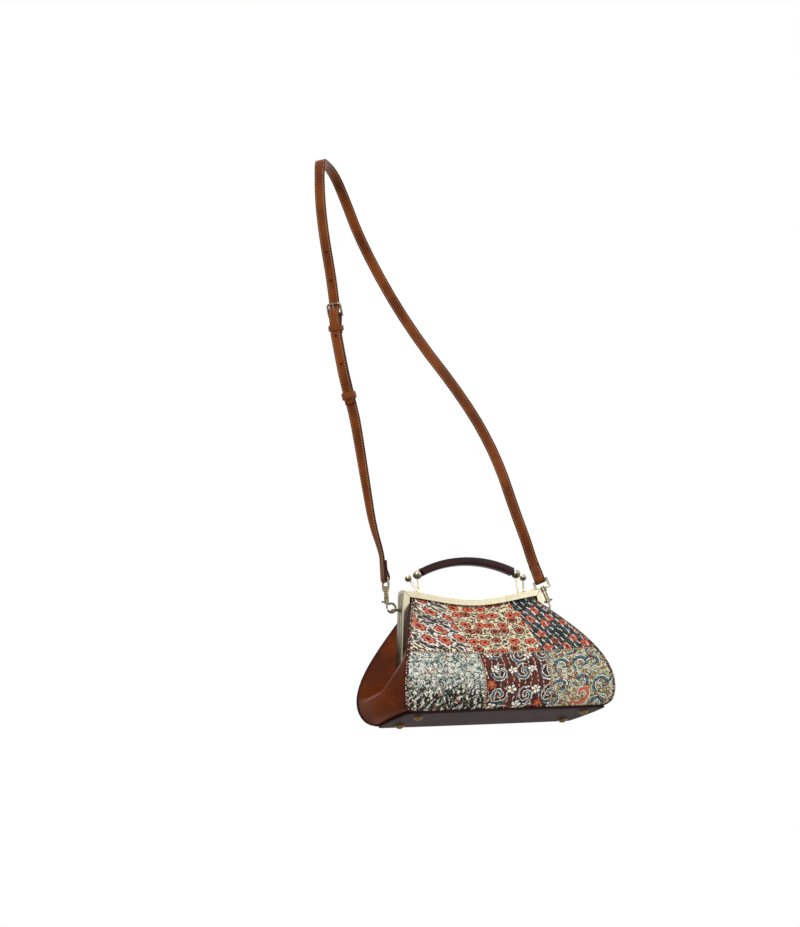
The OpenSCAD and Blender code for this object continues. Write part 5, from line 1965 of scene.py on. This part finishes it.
@dataclass(frozen=True)
class Studio:
    """Camera of the photograph, soft lamps, a pale floor and a white surround."""

    make: Maker
    azimuth: float = -23.895
    elevation: float = -15.681
    roll: float = -5.855
    focal_px: float = 1998.16
    sensor: float = 36.0
    clip_end: float = 50.0
    offset: Point = (-0.110034, 0.241636, 2.6)
    target_h: float = 0.09
    image_h: int = 927
    lamp_target_h: float = 0.2
    lamps: tuple[Lamp, ...] = (
        Lamp("key_lamp", (-1.4, -1.9, 1.7), 1.6, 46.0),
        Lamp("fill_lamp", (1.9, -1.4, 0.6), 1.8, 17.0),
        Lamp("back_lamp", (0.4, 1.9, 1.4), 1.4, 18.0),
    )
    soft_light: float = 0.34
    floor_drop: float = 0.75
    floor_half: float = 3.0
    floor_steps: int = 5
    floor_light: Colour = (0.93, 0.93, 0.92)
    floor_dark: Colour = (0.88, 0.88, 0.87)

    def stand(self, name: str, data: bpy.types.ID, axes: Array, at: Array) -> Object:
        """Put a camera or lamp in its place.

        Args:
            name: its name.
            data: the camera or lamp.
            axes: its right, up and back, as columns.
            at: its place, from the middle of the bag's underside.

        Returns:
            The object.
        """
        made = bpy.data.objects.new(name, data)
        turn = np.eye(4)
        turn[:3, :3] = axes
        turn[:3, 3] = at + self.make.origin
        made.matrix_world = Matrix(turn.tolist())
        bpy.context.scene.collection.objects.link(made)
        return made

    def camera(self) -> None:
        """Set the camera from its angles, its distance and its focal length in image points."""
        a, e, r = (math.radians(v) for v in (self.azimuth, self.elevation, self.roll))
        back = np.array([math.sin(a) * math.cos(e), -math.cos(a) * math.cos(e), math.sin(e)])
        level = np.array([math.cos(a), math.sin(a), 0.0])
        rise = np.cross(back, level)
        right = math.cos(r) * level + math.sin(r) * rise
        up = math.cos(r) * rise - math.sin(r) * level
        axes = np.stack([right, up, back], axis=1)
        eye = np.array([0.0, 0.0, self.target_h]) + axes @ np.array(self.offset)
        data = bpy.data.cameras.new("photo_camera")
        data.sensor_width = self.sensor
        data.lens = self.sensor * self.focal_px / self.image_h
        data.clip_end = self.clip_end
        bpy.context.scene.camera = self.stand("photo_camera", data, axes, eye)

    def hang(self, lamp: Lamp) -> None:
        """Hang a lamp so that it faces the middle of the bag."""
        data = bpy.data.lights.new(lamp.name, "AREA")
        data.shape, data.size, data.energy = "SQUARE", lamp.size, lamp.power
        at = np.array(lamp.place)
        back = unit(at - np.array([0.0, 0.0, self.lamp_target_h]))
        right = unit(np.cross(UP, back))
        axes = np.stack([right, np.cross(back, right), back], axis=1)
        self.stand(lamp.name, data, axes, at)

    def surround(self) -> None:
        """White for what the camera and reflections see, soft grey light for the rest."""
        g = WorldGraph("surround")
        camera = g.node("ShaderNodeLightPath", out="Is Camera Ray")
        glossy, through = (g.other(camera, f"Is {ray} Ray") for ray in ("Glossy", "Transmission"))
        seen = camera.most(glossy).most(through)
        inputs = {"Value": seen, "To Min": self.soft_light, "To Max": 1.0}
        g.feed("Strength", g.node("ShaderNodeMapRange", None, inputs))
        g.feed("Color", (1.0, 1.0, 1.0, 1.0))
        bpy.context.scene.world = g.world

    def floor(self) -> None:
        """Lay a plain pale floor well below the hanging bag."""
        line = np.linspace(-self.floor_half, self.floor_half, self.floor_steps)
        x, y = np.meshgrid(line, line)
        grid = np.stack([x, y, np.full_like(x, -self.floor_drop)], axis=-1)
        piece = self.make.mesh("pale_floor", grid, self.make.quads(*grid.shape[:2]))
        g = Graph("pale_floor")
        share = g.noise(g.place(), 3.0) * 0.1
        g.feed("Base Color", g.mix(share, self.floor_light, self.floor_dark))
        g.feed("Roughness", 0.8)
        piece.data.materials.append(g.material)

    def build(self) -> None:
        """Set up the whole studio."""
        self.camera()
        self.surround()
        for lamp in self.lamps:
            self.hang(lamp)
        self.floor()
        bpy.context.scene.view_settings.view_transform = "Standard"


@dataclass
class Hardware:
    """Finishes of the rigid pieces that stay as the solids are."""

    make: Maker
    ball_r: tuple[tuple[str, float], ...] = (("grip_post", 0.0055), ("clasp_post", 0.0045))
    paired: tuple[str, ...] = ("hook", "hook_trigger", "swivel_eye", "side_lug", "hinge_pin")
    single: tuple[str, ...] = ("buckle_frame", "buckle_prong")
    hook_metal: Metal = Metal(
        "hook_metal", (0.58, 0.53, 0.42), (0.10, 0.08, 0.05), 0.14, patches=230.0
    )
    foot_metal: Metal = Metal("foot_metal", (0.50, 0.40, 0.22), (0.24, 0.18, 0.10), 0.26)
    board_cloth: Weave = Weave("board_cloth", (0.30, 0.26, 0.22), (0.2, 0.17, 0.14))

    @staticmethod
    def both(word: str) -> tuple[str, ...]:
        """Names of a left and a right solid."""
        return tuple(f"{word}_{side.name.lower()}" for side in Side)

    @staticmethod
    def dress(nodes: tuple[str, ...], material: Material) -> None:
        """Give solids a finish."""
        for name in nodes:
            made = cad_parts[name]
            made.data.materials.clear()
            made.data.materials.append(material)
            LOG.info("%s dressed", name)

    def build(self) -> None:
        """Dress the frame, the balls, the hooks, the feet and the board."""
        s = self.make.shape
        x, y, z = (float(value) for value in self.make.origin)
        rails = FrameMetal(x, y + s.frame_y, s.frame_w / 2, z + s.frame_h)
        self.dress(("front_frame", "back_frame"), rails.material())
        for post, radius in self.ball_r:
            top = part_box(f"{post}_left")[1].z
            balls = BallMetal(f"{post}_metal", top - radius, radius)
            self.dress(self.both(post), balls.material())
        hooks = sum((self.both(word) for word in self.paired), self.single)
        self.dress(hooks, self.hook_metal.material())
        self.dress(("feet",), self.foot_metal.material())
        self.dress(("base_board",), self.board_cloth.material())


def main() -> None:
    """Build every piece in order and report it."""
    logging.basicConfig(level=logging.INFO, format="%(name)s: %(message)s")
    make = Maker(Shape())
    Studio(make).build()
    LOG.info("studio set")
    cognac = Leather("cognac_leather", (0.47, 0.20, 0.02), (0.28, 0.10, 0.005), 0.5, 0.06)
    dark = Leather("dark_leather", (0.24, 0.155, 0.15), (0.16, 0.10, 0.10), 0.55, 0.05)
    wrap = Leather("grip_wrap", (0.20, 0.055, 0.055), (0.11, 0.03, 0.03), 0.2, 0.24)
    plain = Leather("keeper_leather", (0.50, 0.26, 0.11), (0.36, 0.17, 0.07))
    thread = Thread("stitch_thread", (0.87, 0.76, 0.58), (0.66, 0.52, 0.36))
    cloth = Weave("lining_weave", (0.46, 0.36, 0.27), (0.27, 0.20, 0.15))
    wire = Metal("spring_wire", (0.72, 0.72, 0.72), (0.5, 0.5, 0.5), 0.3)
    body, trim = cognac.material(), dark.material()
    shell = Shell(make)
    shell.front()
    shell.back(body)
    shell.gussets(body)
    shell.piping(trim)
    shell.base(trim)
    shell.lining(cloth.material())
    strap = Strap(make)
    pieces = [*shell.pieces, Grip(make).build(wrap.material())]
    pieces += strap.build(plain.material(), thread.material())
    pieces += Springs(make, strap).build(wire.material())
    for piece in pieces:
        LOG.info("%s built", piece.name)
    Hardware(make).build()


if __name__ == "__main__":
    main()
